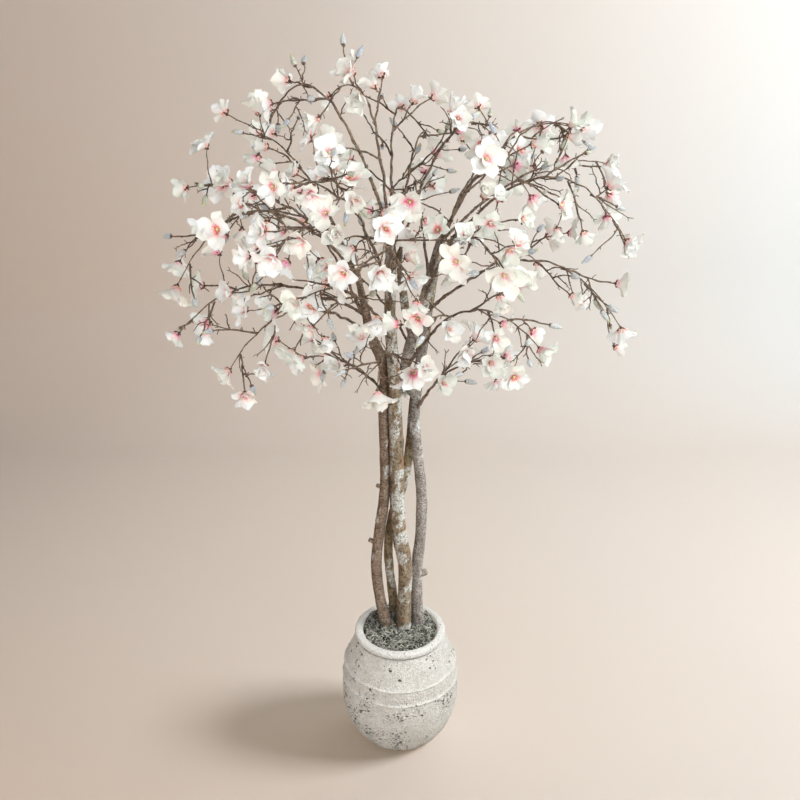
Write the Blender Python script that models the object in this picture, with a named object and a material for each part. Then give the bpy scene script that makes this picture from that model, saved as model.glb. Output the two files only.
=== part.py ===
"""Potted magnolia: an artificial tree of four natural stems in a rough stoneware pot.

Metres, +Z up. The origin is on the floor, at the centre of the pot's flat underside.
-Y is the side that is seen first. Four stems rise from a bed of moss and carry long
dark sprays that arch out like an umbrella. Each spray starts as a bough and ends as a
mass: a stem with side twigs, each twig tipped by a blossom or a furry bud.
"""
import math
import random

import bpy
import numpy as np

# Shared sizes
GAP = 0.0003
UP = np.array([0.0, 0.0, 1.0])

# Pot: radius and height of the outside from the foot to the lip, then of the inside
POT_SIDES = 24
FOOT_RADIUS = 0.110
LIP_TOP = 0.388
MOUTH_RADIUS = 0.110
FLOOR_THICKNESS = 0.018
POT_FLANK = [(FOOT_RADIUS, 0), (.119, .007), (.149, .049), (.168, .100), (.1755, .190)]
POT_BANDS = [(.1720, .2235), (.1665, .274)]
BAND_RISE = 0.004
BAND_HALF_WIDTH = 0.008
BAND_TAPER = 0.002
POT_SHOULDER = [(.158, .302), (.145, .334), (.1315, .358)]
POT_LIP = [(.1360, .369), (.1345, .383), (.125, LIP_TOP), (.115, LIP_TOP), (MOUTH_RADIUS, .381)]
NECK = (MOUTH_RADIUS, .358)
POT_INSIDE = [NECK, (.122, .340), (.149, .285), (.161, .190), (.140, .075), (.098, FLOOR_THICKNESS)]
FILL_CLEARANCE = 0.0004
FILL_TOP = 0.345
MOSS_TOP = 0.372
MOSS_EDGE = (0.008, 0.004)

# Stems: height above the moss, x, y and radius at each bend
STEMS = {
    "left_stem": [
        (0, -.040, .018, .0185), (.10, -.058, .018, .0160), (.24, -.070, .018, .0155),
        (.35, -.060, .018, .0160), (.46, -.046, .020, .0155), (.75, -.045, .024, .0155),
        (.88, -.044, .030, .0155), (.98, -.078, .022, .0140), (1.08, -.096, .008, .0105),
        (1.23, -.123, -.012, .0085)],
    "centre_stem": [
        (0, .011, .012, .0225), (.10, .013, .010, .0200), (.25, .014, .006, .0205),
        (.33, .001, .002, .0215), (.40, -.006, 0, .0210), (.58, -.008, 0, .0195),
        (.72, -.012, 0, .0180), (.90, -.018, 0, .0160), (1.05, -.027, 0, .0150),
        (1.15, -.024, .004, .0145), (1.24, -.024, .004, .0130), (1.34, -.044, 0, .0100)],
    "right_stem": [
        (0, .056, .030, .0185), (.10, .051, .030, .0165), (.20, .050, .030, .0165),
        (.35, .061, .030, .0158), (.50, .060, .030, .0155), (.62, .048, .032, .0145),
        (.72, .042, .045, .0135), (.82, .050, .055, .0140), (.97, .066, .056, .0125),
        (1.04, .077, .052, .0105)],
    "back_stem": [
        (0, -.012, .062, .0160), (.12, -.025, .058, .0135), (.30, -.033, .052, .0130),
        (.38, -.022, .054, .0130), (.50, .014, .064, .0130), (.62, .030, .076, .0130),
        (.75, .040, .086, .0125), (.95, .070, .090, .0120), (1.12, .090, .078, .0110),
        (1.24, .112, .062, .0090)],
    "right_fork": [
        (.775, .046, .050, .0120), (.81, .027, .034, .0125), (.85, .013, .021, .0135),
        (.90, .016, .012, .0145), (1.00, .038, .002, .0150), (1.10, .066, -.004, .0145),
        (1.20, .090, -.004, .0140), (1.27, .106, 0, .0110)],
    "centre_fork": [
        (.985, .034, .004, .0110), (1.04, .018, .018, .0110), (1.10, .009, .024, .0105),
        (1.17, -.001, .030, .0090)],
}
FORK_PARENTS = {"right_fork": "right_stem", "centre_fork": "right_fork"}
STEM_SIDES = 8

# Sawn stubs on the stems: stem, height above the moss, bearing, length, radius
STUBS = [
    ("left_stem", .305, 178, .030, .0065), ("left_stem", .495, 186, .024, .0055),
    ("right_stem", .185, -8, .032, .0095), ("back_stem", .590, 20, .022, .0060),
]
STUB_RISE = 0.55
STUB_SIDES = 6
STUB_FLARE = 1.2

# Sprays: stem, height above the moss, bearing in degrees from +X, reach, climb, sag,
# sway to the side, and whether a bough carries the mass
SPRAYS = {
    "left_top": ("left_stem", 1.23, 172, .43, .20, .04, .00, True),
    "left_arch": ("left_stem", 1.17, -157, .48, .33, .28, .00, True),
    "left_up": ("left_stem", 1.13, 138, .36, .34, .00, .00, False),
    "left_out": ("left_stem", 1.04, -168, .50, .20, .20, .02, True),
    "left_low": ("left_stem", .98, -141, .45, .22, .18, .00, True),
    "left_under": ("left_stem", .80, -146, .25, .18, .00, .01, False),
    "top_left": ("centre_stem", 1.34, 162, .34, .46, .34, -.01, True),
    "top_peak": ("centre_stem", 1.26, 150, .17, .45, .09, -.05, False),
    "top_back": ("centre_stem", 1.20, 85, .32, .38, .06, .01, False),
    "top_right": ("centre_stem", 1.15, 0, .25, .50, .10, -.02, True),
    "right_top": ("right_fork", 1.27, 28, .42, .31, .08, .02, True),
    "right_arch": ("right_fork", 1.13, -14, .26, .48, .20, -.08, False),
    "right_high": ("right_fork", 1.20, -4, .49, .36, .28, .01, True),
    "right_back": ("back_stem", 1.24, 32, .55, .18, .07, .01, True),
    "right_out": ("right_stem", 1.04, -17, .52, .28, .26, .00, True),
    "right_low": ("right_fork", .87, -46, .47, .38, .14, -.03, True),
    "right_under": ("right_stem", .73, -42, .28, .25, .01, -.01, False),
    "front_left_high": ("centre_stem", 1.11, -112, .46, .48, .04, -.02, True),
    "front_left": ("left_stem", 1.09, -112, .50, .40, .08, .02, True),
    "front_left_low": ("centre_stem", .97, -118, .46, .32, .02, .01, True),
    "front": ("centre_stem", 1.05, -92, .50, .42, .08, .01, True),
    "front_right": ("right_fork", 1.09, -70, .50, .38, .10, -.01, True),
    "front_low": ("centre_stem", .90, -97, .32, .17, .08, .00, False),
    "back_left": ("left_stem", .93, 128, .52, .40, .18, .01, True),
    "back": ("back_stem", 1.06, 95, .50, .30, .18, .01, True),
    "back_right": ("back_stem", 1.17, 62, .48, .26, .14, .01, True),
    "back_low_left": ("back_stem", .86, 128, .44, .24, .14, .01, True),
    "middle_back": ("centre_fork", 1.17, 70, .24, .36, .06, .01, False),
}
SPRAY_BASE_RADIUS = 0.0072
SPRAY_TIP_RADIUS = 0.0022
SPRAY_TAPER = 0.8
SPRAY_STEPS = 24
BOUGH_STEPS = 9
BOUGH_STRIDE = 3
MASS_STRIDE = 3
BOUGH_SIDES = 5
STEM_OF_MASS_SIDES = 4

# Growth rule of a mass
TWIGS_PER_MASS = 5
TWIG_STEPS = 4
FIRST_TWIG = (.10, .26)
LAST_TWIG = 0.88
TWIG_RADIUS = 0.0020
TWIG_TAPERS = {"side": (1.3, 1.0), "spur": (1.05, .85)}
TWIG_SIDES = 3
TWIG_LEAN = (34, 58)
TWIG_ROLL = 38
TWIG_LENGTH = (.34, .52)
TWIG_SHORTENING = (1.08, .55)
TWIG_WANDER = 0.20
TWIG_DROOP = 0.25
TWIG_TRIES = 6
TRY_SHORTENING = 0.1
SPUR_SHARE = 0.60
SPUR_LEAN = (40, 62)
SPUR_LENGTH = (.35, .5)
SPUR_TWIST = 0.4
SPUR_BLOOM_SHARE = 0.6
CLEAR = 0.002
JOINT_REACH = 0.018

# Blossoms and buds; the rim of a petal is a turn in petal widths and a share of its length
PETALS = 5
PETAL_LENGTH = (.040, .056)
PETAL_LIFTS = (20, 32, 46)
PETAL_STAGGER = 14
PETAL_RIM = ((-.5, .52), (-.28, .98), (.28, .98))
CUP_DEPTH = 0.006
BLOOM_TRIES = 5
BLOOM_OUTWARD = 0.45
BLOOM_WANDER = 0.5
PETAL_BALL = (.58, .36, .42)
HEART_BALL = 0.30
BUD_TURN = (5, 3)
BUD_LENGTH = 0.028
BUD_RADIUS = 0.0062
BUD_FULLEST = 0.35

# Lichen tufts: centre and half sizes
TUFTS = {
    "top_lichen": ((-.045, -.004, 1.682), (.027, .023, .042)),
    "fork_lichen": ((.012, .010, 1.205), (.019, .019, .029)),
}
TUFT_RINGS = 5
TUFT_SIDES = 7
TUFT_LUMPS = (.84, 1.12)
TUFT_MARGIN = 0.02

# Colours and finishes: base colour, roughness
FINISHES = {
    "stoneware": ((.62, .60, .55), .85),
    "cement": ((.30, .29, .27), .90),
    "moss": ((.16, .17, .12), .95),
    "lichen": ((.36, .38, .34), .95),
    "brown_bark": ((.24, .18, .13), .85),
    "lichen_bark": ((.34, .31, .26), .85),
    "grey_bark": ((.30, .28, .26), .80),
    "dark_bark": ((.17, .13, .10), .85),
    "twig_bark": ((.07, .05, .04), .75),
    "blossom": ((.86, .82, .74), .60),
}
STEM_FINISHES = {
    "left_stem": "brown_bark", "centre_stem": "lichen_bark", "right_stem": "grey_bark",
    "back_stem": "dark_bark", "right_fork": "grey_bark", "centre_fork": "lichen_bark",
}


# Small vector helpers

def unit(vector):
    """The vector at length one."""
    return vector / max(np.linalg.norm(vector), 1e-12)


def turned(vector, axis, angle):
    """The vector turned about a unit axis by an angle in radians."""
    cosine, sine = math.cos(angle), math.sin(angle)
    along = axis * (axis @ vector) * (1 - cosine)
    return vector * cosine + np.cross(axis, vector) * sine + along


def bearing(degrees):
    """A level unit vector at a bearing from +X, and the level vector to its left."""
    a = math.radians(degrees)
    return np.array([math.cos(a), math.sin(a), 0]), np.array([-math.sin(a), math.cos(a), 0])


def any_side(direction):
    """A unit vector square to the direction."""
    other = UP if abs(direction[2]) < .8 else np.array([1.0, 0, 0])
    return unit(np.cross(other, direction))


# Where the limbs run

def stem_rows(name):
    """The stem's bends as points, and its radius at each."""
    rows = np.array(STEMS[name], float)
    points = np.stack([rows[:, 1], rows[:, 2], rows[:, 0] + MOSS_TOP], 1)
    return points, rows[:, 3]


def stem_at(name, height):
    """The middle of a stem at a height above the moss."""
    points, _ = stem_rows(name)
    z = height + MOSS_TOP
    return np.array([np.interp(z, points[:, 2], points[:, k]) for k in (0, 1)] + [z])


def spray_curve(name):
    """Points, directions and radii along a spray, from its stem's middle to its tip.

    It runs out evenly along its bearing, climbs as 1-(1-t)^2, sags as t^3 and sways to
    the side as half a sine wave.
    """
    parent, height, degrees, reach, climb, sag, sway, _ = SPRAYS[name]
    out, left = bearing(degrees)
    t = np.linspace(0, 1, SPRAY_STEPS + 1)
    rise = climb * (1 - (1 - t) ** 2) - sag * t ** 3
    points = stem_at(parent, height) + np.outer(reach * t, out) + np.outer(rise, UP)
    points += np.outer(sway * np.sin(math.pi * t), left)
    slope = 2 * climb * (1 - t) - 3 * sag * t ** 2
    ways = np.outer(np.full_like(t, reach), out) + np.outer(slope, UP)
    ways += np.outer(sway * math.pi * np.cos(math.pi * t), left)
    ways /= np.linalg.norm(ways, axis=1)[:, None]
    radii = SPRAY_BASE_RADIUS + (SPRAY_TIP_RADIUS - SPRAY_BASE_RADIUS) * t ** SPRAY_TAPER
    return points, ways, radii


def dense(points, step=0.008):
    """The same path with a point at least every step."""
    path = [points[0]]
    for start, end in zip(points[:-1], points[1:]):
        count = max(1, math.ceil(np.linalg.norm(end - start) / step))
        path += [start + (end - start) * k / count for k in range(1, count + 1)]
    return np.array(path)


class Crown:
    """Everything placed so far: straight pieces with a radius, named by their limb.

    A blossom or bud is a piece of no length, which makes it a ball.
    """

    def __init__(self):
        self.starts, self.ends, self.radii, self.owners = [], [], [], []

    def add_path(self, points, radii, owner):
        for k in range(len(points) - 1):
            self.starts.append(points[k])
            self.ends.append(points[k + 1])
            self.radii.append(max(radii[k], radii[k + 1]))
            self.owners.append(owner)

    def add_ball(self, centre, radius, owner):
        self.add_path([centre, centre], [radius, radius], owner)

    def clear_of(self, points, radius, but=()):
        """Least room between balls at the points and every limb not named in but."""
        keep = np.array([owner not in but for owner in self.owners])
        starts = np.array(self.starts)[keep]
        spans = np.array(self.ends)[keep] - starts
        sizes = np.array(self.radii)[keep]
        lengths = np.maximum((spans * spans).sum(1), 1e-12)
        offsets = np.atleast_2d(points)[:, None] - starts[None]
        along = np.clip((offsets * spans[None]).sum(2) / lengths[None], 0, 1)
        nearest = offsets - along[..., None] * spans[None]
        return (np.linalg.norm(nearest, axis=2) - sizes[None]).min() - radius


# Growth of a mass

def bloom_balls(base, axis, size):
    """The room a blossom takes: a ball over each petal and one over the heart."""
    outward, forward, share = PETAL_BALL
    first = any_side(axis)
    second = np.cross(axis, first)
    angles = 2 * math.pi * np.arange(PETALS) / PETALS
    round_about = np.outer(np.cos(angles), first) + np.outer(np.sin(angles), second)
    petals = base + size * (outward * round_about + forward * axis)
    return np.vstack([petals, base + size * HEART_BALL * axis]), size * share


class Twig:
    """A twig's points, how it starts, and what is on its tip.

    The tip is None, ("bud", way) or ("bloom", axis, petal length).
    """

    def __init__(self, points, kind, label):
        self.points, self.kind, self.label = points, kind, label
        self.tip = None


class Mass:
    """One spray's twigs, blossoms and buds, grown from its stem by a seeded rule."""

    def __init__(self, name, number, crown):
        self.name = name
        self.crown = crown
        self.random = random.Random(number)
        self.out, _ = bearing(SPRAYS[name][2])
        self.twigs = []

    def wander(self, amount, down=0.0):
        """A small random vector, more of it downwards where down is given."""
        draw = self.random.uniform
        return amount * np.array([draw(-1, 1), draw(-1, 1), draw(-1 - down, 1 - down)])

    def path(self, base, way, length, steps):
        """A twig's points: it turns a little at each step and sinks on the whole."""
        points = [base]
        for _ in range(steps):
            way = unit(way + self.wander(TWIG_WANDER, TWIG_DROOP))
            points.append(points[-1] + way * length / steps)
        return np.array(points), way

    def add_twig(self, points, kind, owner):
        """Keeps a twig if all of it but its joint is clear of everything placed."""
        test = dense(points)
        test = test[np.linalg.norm(test - points[0], axis=1) > JOINT_REACH]
        if len(test) == 0 or self.crown.clear_of(test, TWIG_RADIUS, (owner,)) < CLEAR:
            return None
        twig = Twig(points, kind, "%s_twig%d" % (self.name, len(self.twigs)))
        self.crown.add_path(points, [TWIG_RADIUS] * len(points), twig.label)
        self.twigs.append(twig)
        return twig

    def add_bloom(self, twig, way):
        """Puts a blossom on a tip, facing out along it, where there is room."""
        base = twig.points[-1]
        for _ in range(BLOOM_TRIES):
            size = self.random.uniform(*PETAL_LENGTH)
            axis = unit(way + BLOOM_OUTWARD * self.out + self.wander(BLOOM_WANDER))
            centres, radius = bloom_balls(base, axis, size)
            if self.crown.clear_of(centres, radius, (twig.label,)) > CLEAR:
                twig.tip = ("bloom", axis, size)
                for centre in centres:
                    self.crown.add_ball(centre, radius, twig.label + "_bloom")
                return True
        return False

    def add_bud(self, twig, way):
        """Puts a bud on a tip where there is room."""
        centre, radius = twig.points[-1] + way * BUD_LENGTH / 2, BUD_LENGTH / 2
        if self.crown.clear_of(centre, radius, (twig.label,)) > CLEAR:
            twig.tip = ("bud", way)
            self.crown.add_ball(centre, radius, twig.label + "_bud")

    def finish_tip(self, twig, way, bloom):
        """A blossom where one is wanted and fits, or else a bud."""
        if not (bloom and self.add_bloom(twig, way)):
            self.add_bud(twig, way)

    def side_twig(self, base, way, length, left):
        """One side twig: it leaves the stem to one side, at the first try that is clear."""
        over = unit(UP - way * way[2])
        for attempt in range(TWIG_TRIES):
            roll = math.radians(self.random.uniform(-TWIG_ROLL, TWIG_ROLL) + (0 if left else 180))
            lean = math.radians(self.random.uniform(*TWIG_LEAN))
            start = turned(way, turned(over, way, roll), lean)
            shortened = length * (1 - TRY_SHORTENING * attempt)
            points, end = self.path(base, start, shortened, TWIG_STEPS)
            twig = self.add_twig(points, "side", self.name)
            if twig:
                return twig, end
        return None, None

    def spur(self, parent, length):
        """A short spur from a side twig, which ends in a bud or a small blossom."""
        joint = self.random.choice((1, 2))
        points = parent.points
        way = unit(points[joint + 1] - points[joint])
        axis = unit(np.cross(way, UP) + self.wander(SPUR_TWIST))
        lean = math.radians(self.random.choice((-1, 1)) * self.random.uniform(*SPUR_LEAN))
        path, end = self.path(points[joint], turned(way, axis, lean), length, 2)
        twig = self.add_twig(path, "spur", parent.label)
        if twig:
            self.finish_tip(twig, end, self.random.random() < SPUR_BLOOM_SHARE)

    def grow(self):
        """Blossom at the tip, then side twigs in turn to the left and the right."""
        points, ways, _ = mass_path(self.name)
        length = np.linalg.norm(np.diff(points, axis=0), axis=1).sum()
        self.stem = Twig(points, "stem", self.name)
        self.add_bloom(self.stem, ways[-1])
        left = self.random.random() < .5
        lowest = FIRST_TWIG[mass_start(self.name) == 0]
        longest, loss = TWIG_SHORTENING
        turns, bud_turn = BUD_TURN
        for k, along in enumerate(np.linspace(lowest, LAST_TWIG, TWIGS_PER_MASS)):
            step, share = divmod(along * (len(points) - 1), 1)
            start, end = points[int(step)], points[int(step) + 1]
            left = not left
            reach = length * self.random.uniform(*TWIG_LENGTH) * (longest - loss * along)
            twig, way = self.side_twig(start + share * (end - start), unit(end - start), reach, left)
            if twig:
                self.finish_tip(twig, way, k % turns != bud_turn)
                if self.random.random() < SPUR_SHARE:
                    self.spur(twig, reach * self.random.uniform(*SPUR_LENGTH))


def mass_start(name):
    """The step of the spray at which its mass begins."""
    return BOUGH_STEPS if SPRAYS[name][7] else 0


def bough_path(name):
    """Points, ways and radii of a spray's bare first stretch."""
    return (row[:BOUGH_STEPS + 1:BOUGH_STRIDE] for row in spray_curve(name))


def mass_path(name):
    """Points, ways and radii of the stem that a mass grows from."""
    return (row[mass_start(name)::MASS_STRIDE] for row in spray_curve(name))


def grow_crown():
    """Places all stems and sprays, then grows each mass into the room that is left."""
    crown = Crown()
    for name in STEMS:
        crown.add_path(*stem_rows(name), name)
    for name in SPRAYS:
        points, _, radii = spray_curve(name)
        crown.add_path(points, radii, name)
    masses = {name: Mass(name, number, crown) for number, name in enumerate(SPRAYS, start=1)}
    for mass in masses.values():
        mass.grow()
    return masses


# Meshes

def finish(name):
    """The material of that name, made on first use."""
    if name in bpy.data.materials:
        return bpy.data.materials[name]
    colour, roughness = FINISHES[name]
    material = bpy.data.materials.new(name)
    material.use_nodes = True
    shader = material.node_tree.nodes["Principled BSDF"]
    shader.inputs["Base Color"].default_value = (*colour, 1)
    shader.inputs["Roughness"].default_value = roughness
    shader.inputs["Metallic"].default_value = 0
    return material


def new_object(name, verts, faces, look):
    """A mesh object in the scene with one material."""
    mesh = bpy.data.meshes.new(name)
    mesh.from_pydata([tuple(map(float, v)) for v in verts], [], faces)
    mesh.materials.append(finish(look))
    obj = bpy.data.objects.new(name, mesh)
    bpy.context.scene.collection.objects.link(obj)
    return obj


def turned_object(name, profile, look):
    """A solid turned about Z from (radius, height) points, which start and end on the axis."""
    verts, faces = [], []
    rings = []
    for radius, height in profile:
        if radius == 0:
            rings.append([len(verts)] * POT_SIDES)
            verts.append((0, 0, height))
            continue
        rings.append(list(range(len(verts), len(verts) + POT_SIDES)))
        angles = 2 * math.pi * np.arange(POT_SIDES) / POT_SIDES
        verts += [(radius * math.cos(a), radius * math.sin(a), height) for a in angles]
    for low, high in zip(rings[:-1], rings[1:]):
        for k in range(POT_SIDES):
            n = (k + 1) % POT_SIDES
            face = [low[k], low[n], high[n], high[k]]
            faces.append(list(dict.fromkeys(face)))
    return new_object(name, verts, faces, look)


def ring_round(point, way, radius, sides, side):
    """Points of a ring square to the way, and the two vectors that span it."""
    first = unit(side - way * (side @ way))
    second = np.cross(way, first)
    angles = 2 * math.pi * np.arange(sides) / sides
    ring = [point + radius * (math.cos(a) * first + math.sin(a) * second) for a in angles]
    return ring, first, second


def bud_tip(rings, faces, base, way, sides, side):
    """Swells the tube's end into a bud, fullest below its middle, with a pointed tip."""
    full, _, _ = ring_round(base + way * BUD_LENGTH * BUD_FULLEST, way, BUD_RADIUS, sides, side)
    count = len(rings)
    low, high = count - sides, count
    for k in range(sides):
        n = (k + 1) % sides
        faces.append([low + k, low + n, high + n, high + k])
        faces.append([high + k, high + n, high + sides])
    return rings + full + [base + way * BUD_LENGTH]


def bloom_tip(rings, faces, base, axis, size, lift, sides, first, second):
    """Opens the tube's end into one thin star-shaped cup.

    The rim has a notch and two shoulders for each petal. The back runs from the tube's
    last ring to the rim, and the front from the rim to the heart, a little above the
    ring, so that the petals taper to their edges.
    """
    angles, rim = [], []
    for petal in range(PETALS):
        slope = math.radians(lift + (PETAL_STAGGER if petal % 2 else 0))
        for turn, radius in PETAL_RIM:
            a = 2 * math.pi * (petal + turn) / PETALS
            flat = math.cos(a) * first + math.sin(a) * second
            rim.append(base + size * radius * (math.cos(slope) * flat + math.sin(slope) * axis))
            angles.append(a)
    low, high = len(rings) - sides, len(rings)
    heart = high + len(rim)
    nearest = [round(a * sides / (2 * math.pi)) % sides for a in angles]
    for k in range(len(rim)):
        n = (k + 1) % len(rim)
        here, there = nearest[k], nearest[n]
        faces.append([low + here, high + n, high + k])
        if here != there:
            faces.append([low + here, low + there, high + n])
        faces.append([heart, high + k, high + n])
    return rings + rim + [base + axis * CUP_DEPTH]


def limb_object(name, points, ways, radii, sides, look, side=None, tip=None, lift=30):
    """A tapered limb whose rings lie square to its way, with a flat start.

    Its end is flat too, or carries the twig's bud or blossom in the same skin.
    """
    side = any_side(ways[0]) if side is None else side
    ways = list(ways)
    if tip:
        ways[-1] = tip[1]
    rings = []
    for point, way, radius in zip(points, ways, radii):
        ring, first, second = ring_round(point, way, radius, sides, side)
        rings += ring
    faces = [list(range(sides))[::-1]]
    for ring in range(len(points) - 1):
        low, high = ring * sides, (ring + 1) * sides
        faces += [[low + k, low + (k + 1) % sides, high + (k + 1) % sides, high + k] for k in range(sides)]
    if tip is None:
        faces.append(list(range(len(rings) - sides, len(rings))))
    elif tip[0] == "bud":
        rings = bud_tip(rings, faces, points[-1], tip[1], sides, side)
    else:
        rings = bloom_tip(rings, faces, points[-1], tip[1], tip[2], lift, sides, first, second)
    return new_object(name, rings, faces, look)


def path_ways(points):
    """The way along a path at each of its points."""
    return [unit(way) for way in np.gradient(points, axis=0)]


# Joining and cutting

def apply_boolean(obj, others, operation):
    """One exact Boolean of the object with a collection of others, then applied."""
    group = bpy.data.collections.new("operands")
    bpy.context.scene.collection.children.link(group)
    for other in others:
        group.objects.link(other)
    modifier = obj.modifiers.new("boolean", "BOOLEAN")
    modifier.operation = operation
    modifier.operand_type = "COLLECTION"
    modifier.collection = group
    modifier.solver = "EXACT"
    graph = bpy.context.evaluated_depsgraph_get()
    mesh = bpy.data.meshes.new_from_object(obj.evaluated_get(graph), depsgraph=graph)
    obj.modifiers.clear()
    obj.data = mesh
    for other in others:
        bpy.data.objects.remove(other)
    bpy.data.collections.remove(group)
    keep_largest(obj)


def keep_largest(obj):
    """Drops loose scraps: only the body with the most vertices stays."""
    mesh = obj.data
    body = list(range(len(mesh.vertices)))

    def root(k):
        while body[k] != k:
            body[k] = body[body[k]]
            k = body[k]
        return k

    for edge in mesh.edges:
        a, b = edge.vertices
        body[root(a)] = root(b)
    roots = [root(k) for k in range(len(body))]
    main = max(set(roots), key=roots.count)
    if all(r == main for r in roots):
        return
    kept = [k for k, r in enumerate(roots) if r == main]
    place = {old: new for new, old in enumerate(kept)}
    verts = [tuple(mesh.vertices[k].co) for k in kept]
    faces = [[place[v] for v in face.vertices] for face in mesh.polygons if face.vertices[0] in place]
    trimmed = bpy.data.meshes.new(mesh.name)
    trimmed.from_pydata(verts, [], faces)
    trimmed.materials.append(mesh.materials[0])
    obj.data = trimmed


def grown_stem(name):
    """The stem with GAP added all round, to cut what meets it."""
    points, radii = stem_rows(name)
    ways = path_ways(points)
    points[-1] += ways[-1] * GAP
    radii = radii + GAP / math.cos(math.pi / STEM_SIDES)
    return limb_object("cutter", points, ways, radii, STEM_SIDES, "dark_bark", np.array([1.0, 0, 0]))


def grown_spray(name):
    """The bough's stretch of a spray with GAP added all round."""
    points, ways, radii = bough_path(name)
    points[0] -= ways[0] * 2 * GAP
    _, left = bearing(SPRAYS[name][2])
    return limb_object("cutter", points, ways, radii + 2 * GAP, BOUGH_SIDES, "dark_bark", left)


# The parts

def pot_outside():
    """Half section of the pot's outside, from its foot over both bands to its lip."""
    bands = []
    for radius, height in POT_BANDS:
        bands += [(radius, height - BAND_HALF_WIDTH), (radius + BAND_RISE, height),
                  (radius - BAND_TAPER, height + BAND_HALF_WIDTH)]
    return POT_FLANK + bands + POT_SHOULDER + POT_LIP


def make_pot():
    """The hollow pot, its cement filling and the bed of moss on top."""
    section = [(0, 0)] + pot_outside() + POT_INSIDE + [(0, FLOOR_THICKNESS)]
    turned_object("pot", section, "stoneware")
    floor = FLOOR_THICKNESS + GAP
    below = [(r - FILL_CLEARANCE, max(z, floor)) for r, z in reversed(POT_INSIDE) if z < FILL_TOP]
    radii, heights = zip(*sorted(POT_INSIDE, key=lambda row: row[1]))
    shelf = np.interp(FILL_TOP, heights, radii) - FILL_CLEARANCE
    turned_object("pot_fill", [(0, floor)] + below + [(shelf, FILL_TOP), (0, FILL_TOP)], "cement")
    edge = MOUTH_RADIUS - GAP
    low = FILL_TOP + GAP
    rim = [(edge, MOSS_TOP - MOSS_EDGE[1]), (edge - MOSS_EDGE[0], MOSS_TOP)]
    turned_object("moss_bed", [(0, low), (edge, low)] + rim + [(0, MOSS_TOP)], "moss")


def make_stems():
    """The four stems and two forks, with their stubs; a fork is cut to fit its stem."""
    for name in STEMS:
        points, radii = stem_rows(name)
        ways = path_ways(points)
        if name not in FORK_PARENTS:
            points[0] += UP * GAP
            ways[0] = UP
        stem = limb_object(name, points, ways, radii, STEM_SIDES, STEM_FINISHES[name], np.array([1.0, 0, 0]))
        stubs = [make_stub(*row[1:], stem_at(name, row[1])) for row in STUBS if row[0] == name]
        if stubs:
            apply_boolean(stem, stubs, "UNION")
        if name in FORK_PARENTS:
            apply_boolean(stem, [grown_stem(FORK_PARENTS[name])], "DIFFERENCE")


def make_stub(height, degrees, length, radius, middle):
    """A sawn stub that leans up and out of a stem."""
    out, _ = bearing(degrees)
    way = unit(out + STUB_RISE * UP)
    points = [middle, middle + way * length]
    radii = [radius * STUB_FLARE, radius]
    return limb_object("stub", points, [way, way], radii, STUB_SIDES, "dark_bark")


def make_bough(name):
    """The bare first stretch of a spray, cut to fit the stem it leaves."""
    points, ways, radii = bough_path(name)
    _, left = bearing(SPRAYS[name][2])
    bough = limb_object("bough_" + name, points, ways, radii, BOUGH_SIDES, "twig_bark", left)
    apply_boolean(bough, [grown_stem(SPRAYS[name][0])], "DIFFERENCE")


def make_mass(mass):
    """The stem, twigs, blossoms and buds of one mass, joined into one body."""
    name = mass.name
    points, ways, radii = mass_path(name)
    if mass_start(name):
        points[0] += ways[0] * GAP
    _, left = bearing(SPRAYS[name][2])
    stem = limb_object("mass_" + name, points, ways, radii, STEM_OF_MASS_SIDES, "blossom", left,
                       mass.stem.tip)
    pieces = []
    for number, twig in enumerate(mass.twigs):
        path = twig.points[::2]
        radii = np.linspace(*TWIG_TAPERS[twig.kind], len(path)) * TWIG_RADIUS
        lift = PETAL_LIFTS[number % len(PETAL_LIFTS)]
        pieces.append(limb_object("twig", path, path_ways(path), radii, TWIG_SIDES, "twig_bark", tip=twig.tip,
                                  lift=lift))
    apply_boolean(stem, pieces, "UNION")
    if not mass_start(name):
        apply_boolean(stem, [grown_stem(SPRAYS[name][0])], "DIFFERENCE")


def make_tuft(name):
    """A lumpy tuft of lichen round a fork, cut clear of the limbs that pass through."""
    centre, half = (np.array(row) for row in TUFTS[name])
    draw = random.Random(name)
    sides = TUFT_SIDES
    verts = [centre - half * UP]
    for ring in range(1, TUFT_RINGS):
        tilt = math.pi * ring / TUFT_RINGS
        for k in range(sides):
            a = 2 * math.pi * (k + .5 * (ring % 2)) / sides
            spot = np.array([math.sin(tilt) * math.cos(a), math.sin(tilt) * math.sin(a), -math.cos(tilt)])
            verts.append(centre + spot * half * draw.uniform(*TUFT_LUMPS))
    verts.append(centre + half * UP)
    faces = [(0, 1 + (k + 1) % sides, 1 + k) for k in range(sides)]
    for ring in range(TUFT_RINGS - 2):
        low, high = 1 + ring * sides, 1 + (ring + 1) * sides
        for k in range(sides):
            n = (k + 1) % sides
            faces += [(low + k, low + n, high + n), (low + k, high + n, high + k)]
    last = len(verts) - 1
    faces += [(last, last - sides + k, last - sides + (k + 1) % sides) for k in range(sides)]
    tuft = new_object(name, verts, faces, "lichen")
    near = [n for n in STEMS if passes(stem_rows(n)[0], centre, half)]
    cutters = [grown_stem(n) for n in near]
    cutters += [grown_spray(n) for n in SPRAYS if passes(spray_curve(n)[0][:BOUGH_STEPS], centre, half)]
    apply_boolean(tuft, cutters, "DIFFERENCE")


def passes(points, centre, half):
    """Whether a path comes near the tuft."""
    return np.linalg.norm(dense(points) - centre, axis=1).min() < max(half) + TUFT_MARGIN


def main():
    for obj in list(bpy.data.objects):
        bpy.data.objects.remove(obj)
    make_pot()
    make_stems()
    masses = grow_crown()
    for name, mass in masses.items():
        if SPRAYS[name][7]:
            make_bough(name)
        make_mass(mass)
    for name in TUFTS:
        make_tuft(name)


main()
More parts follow.
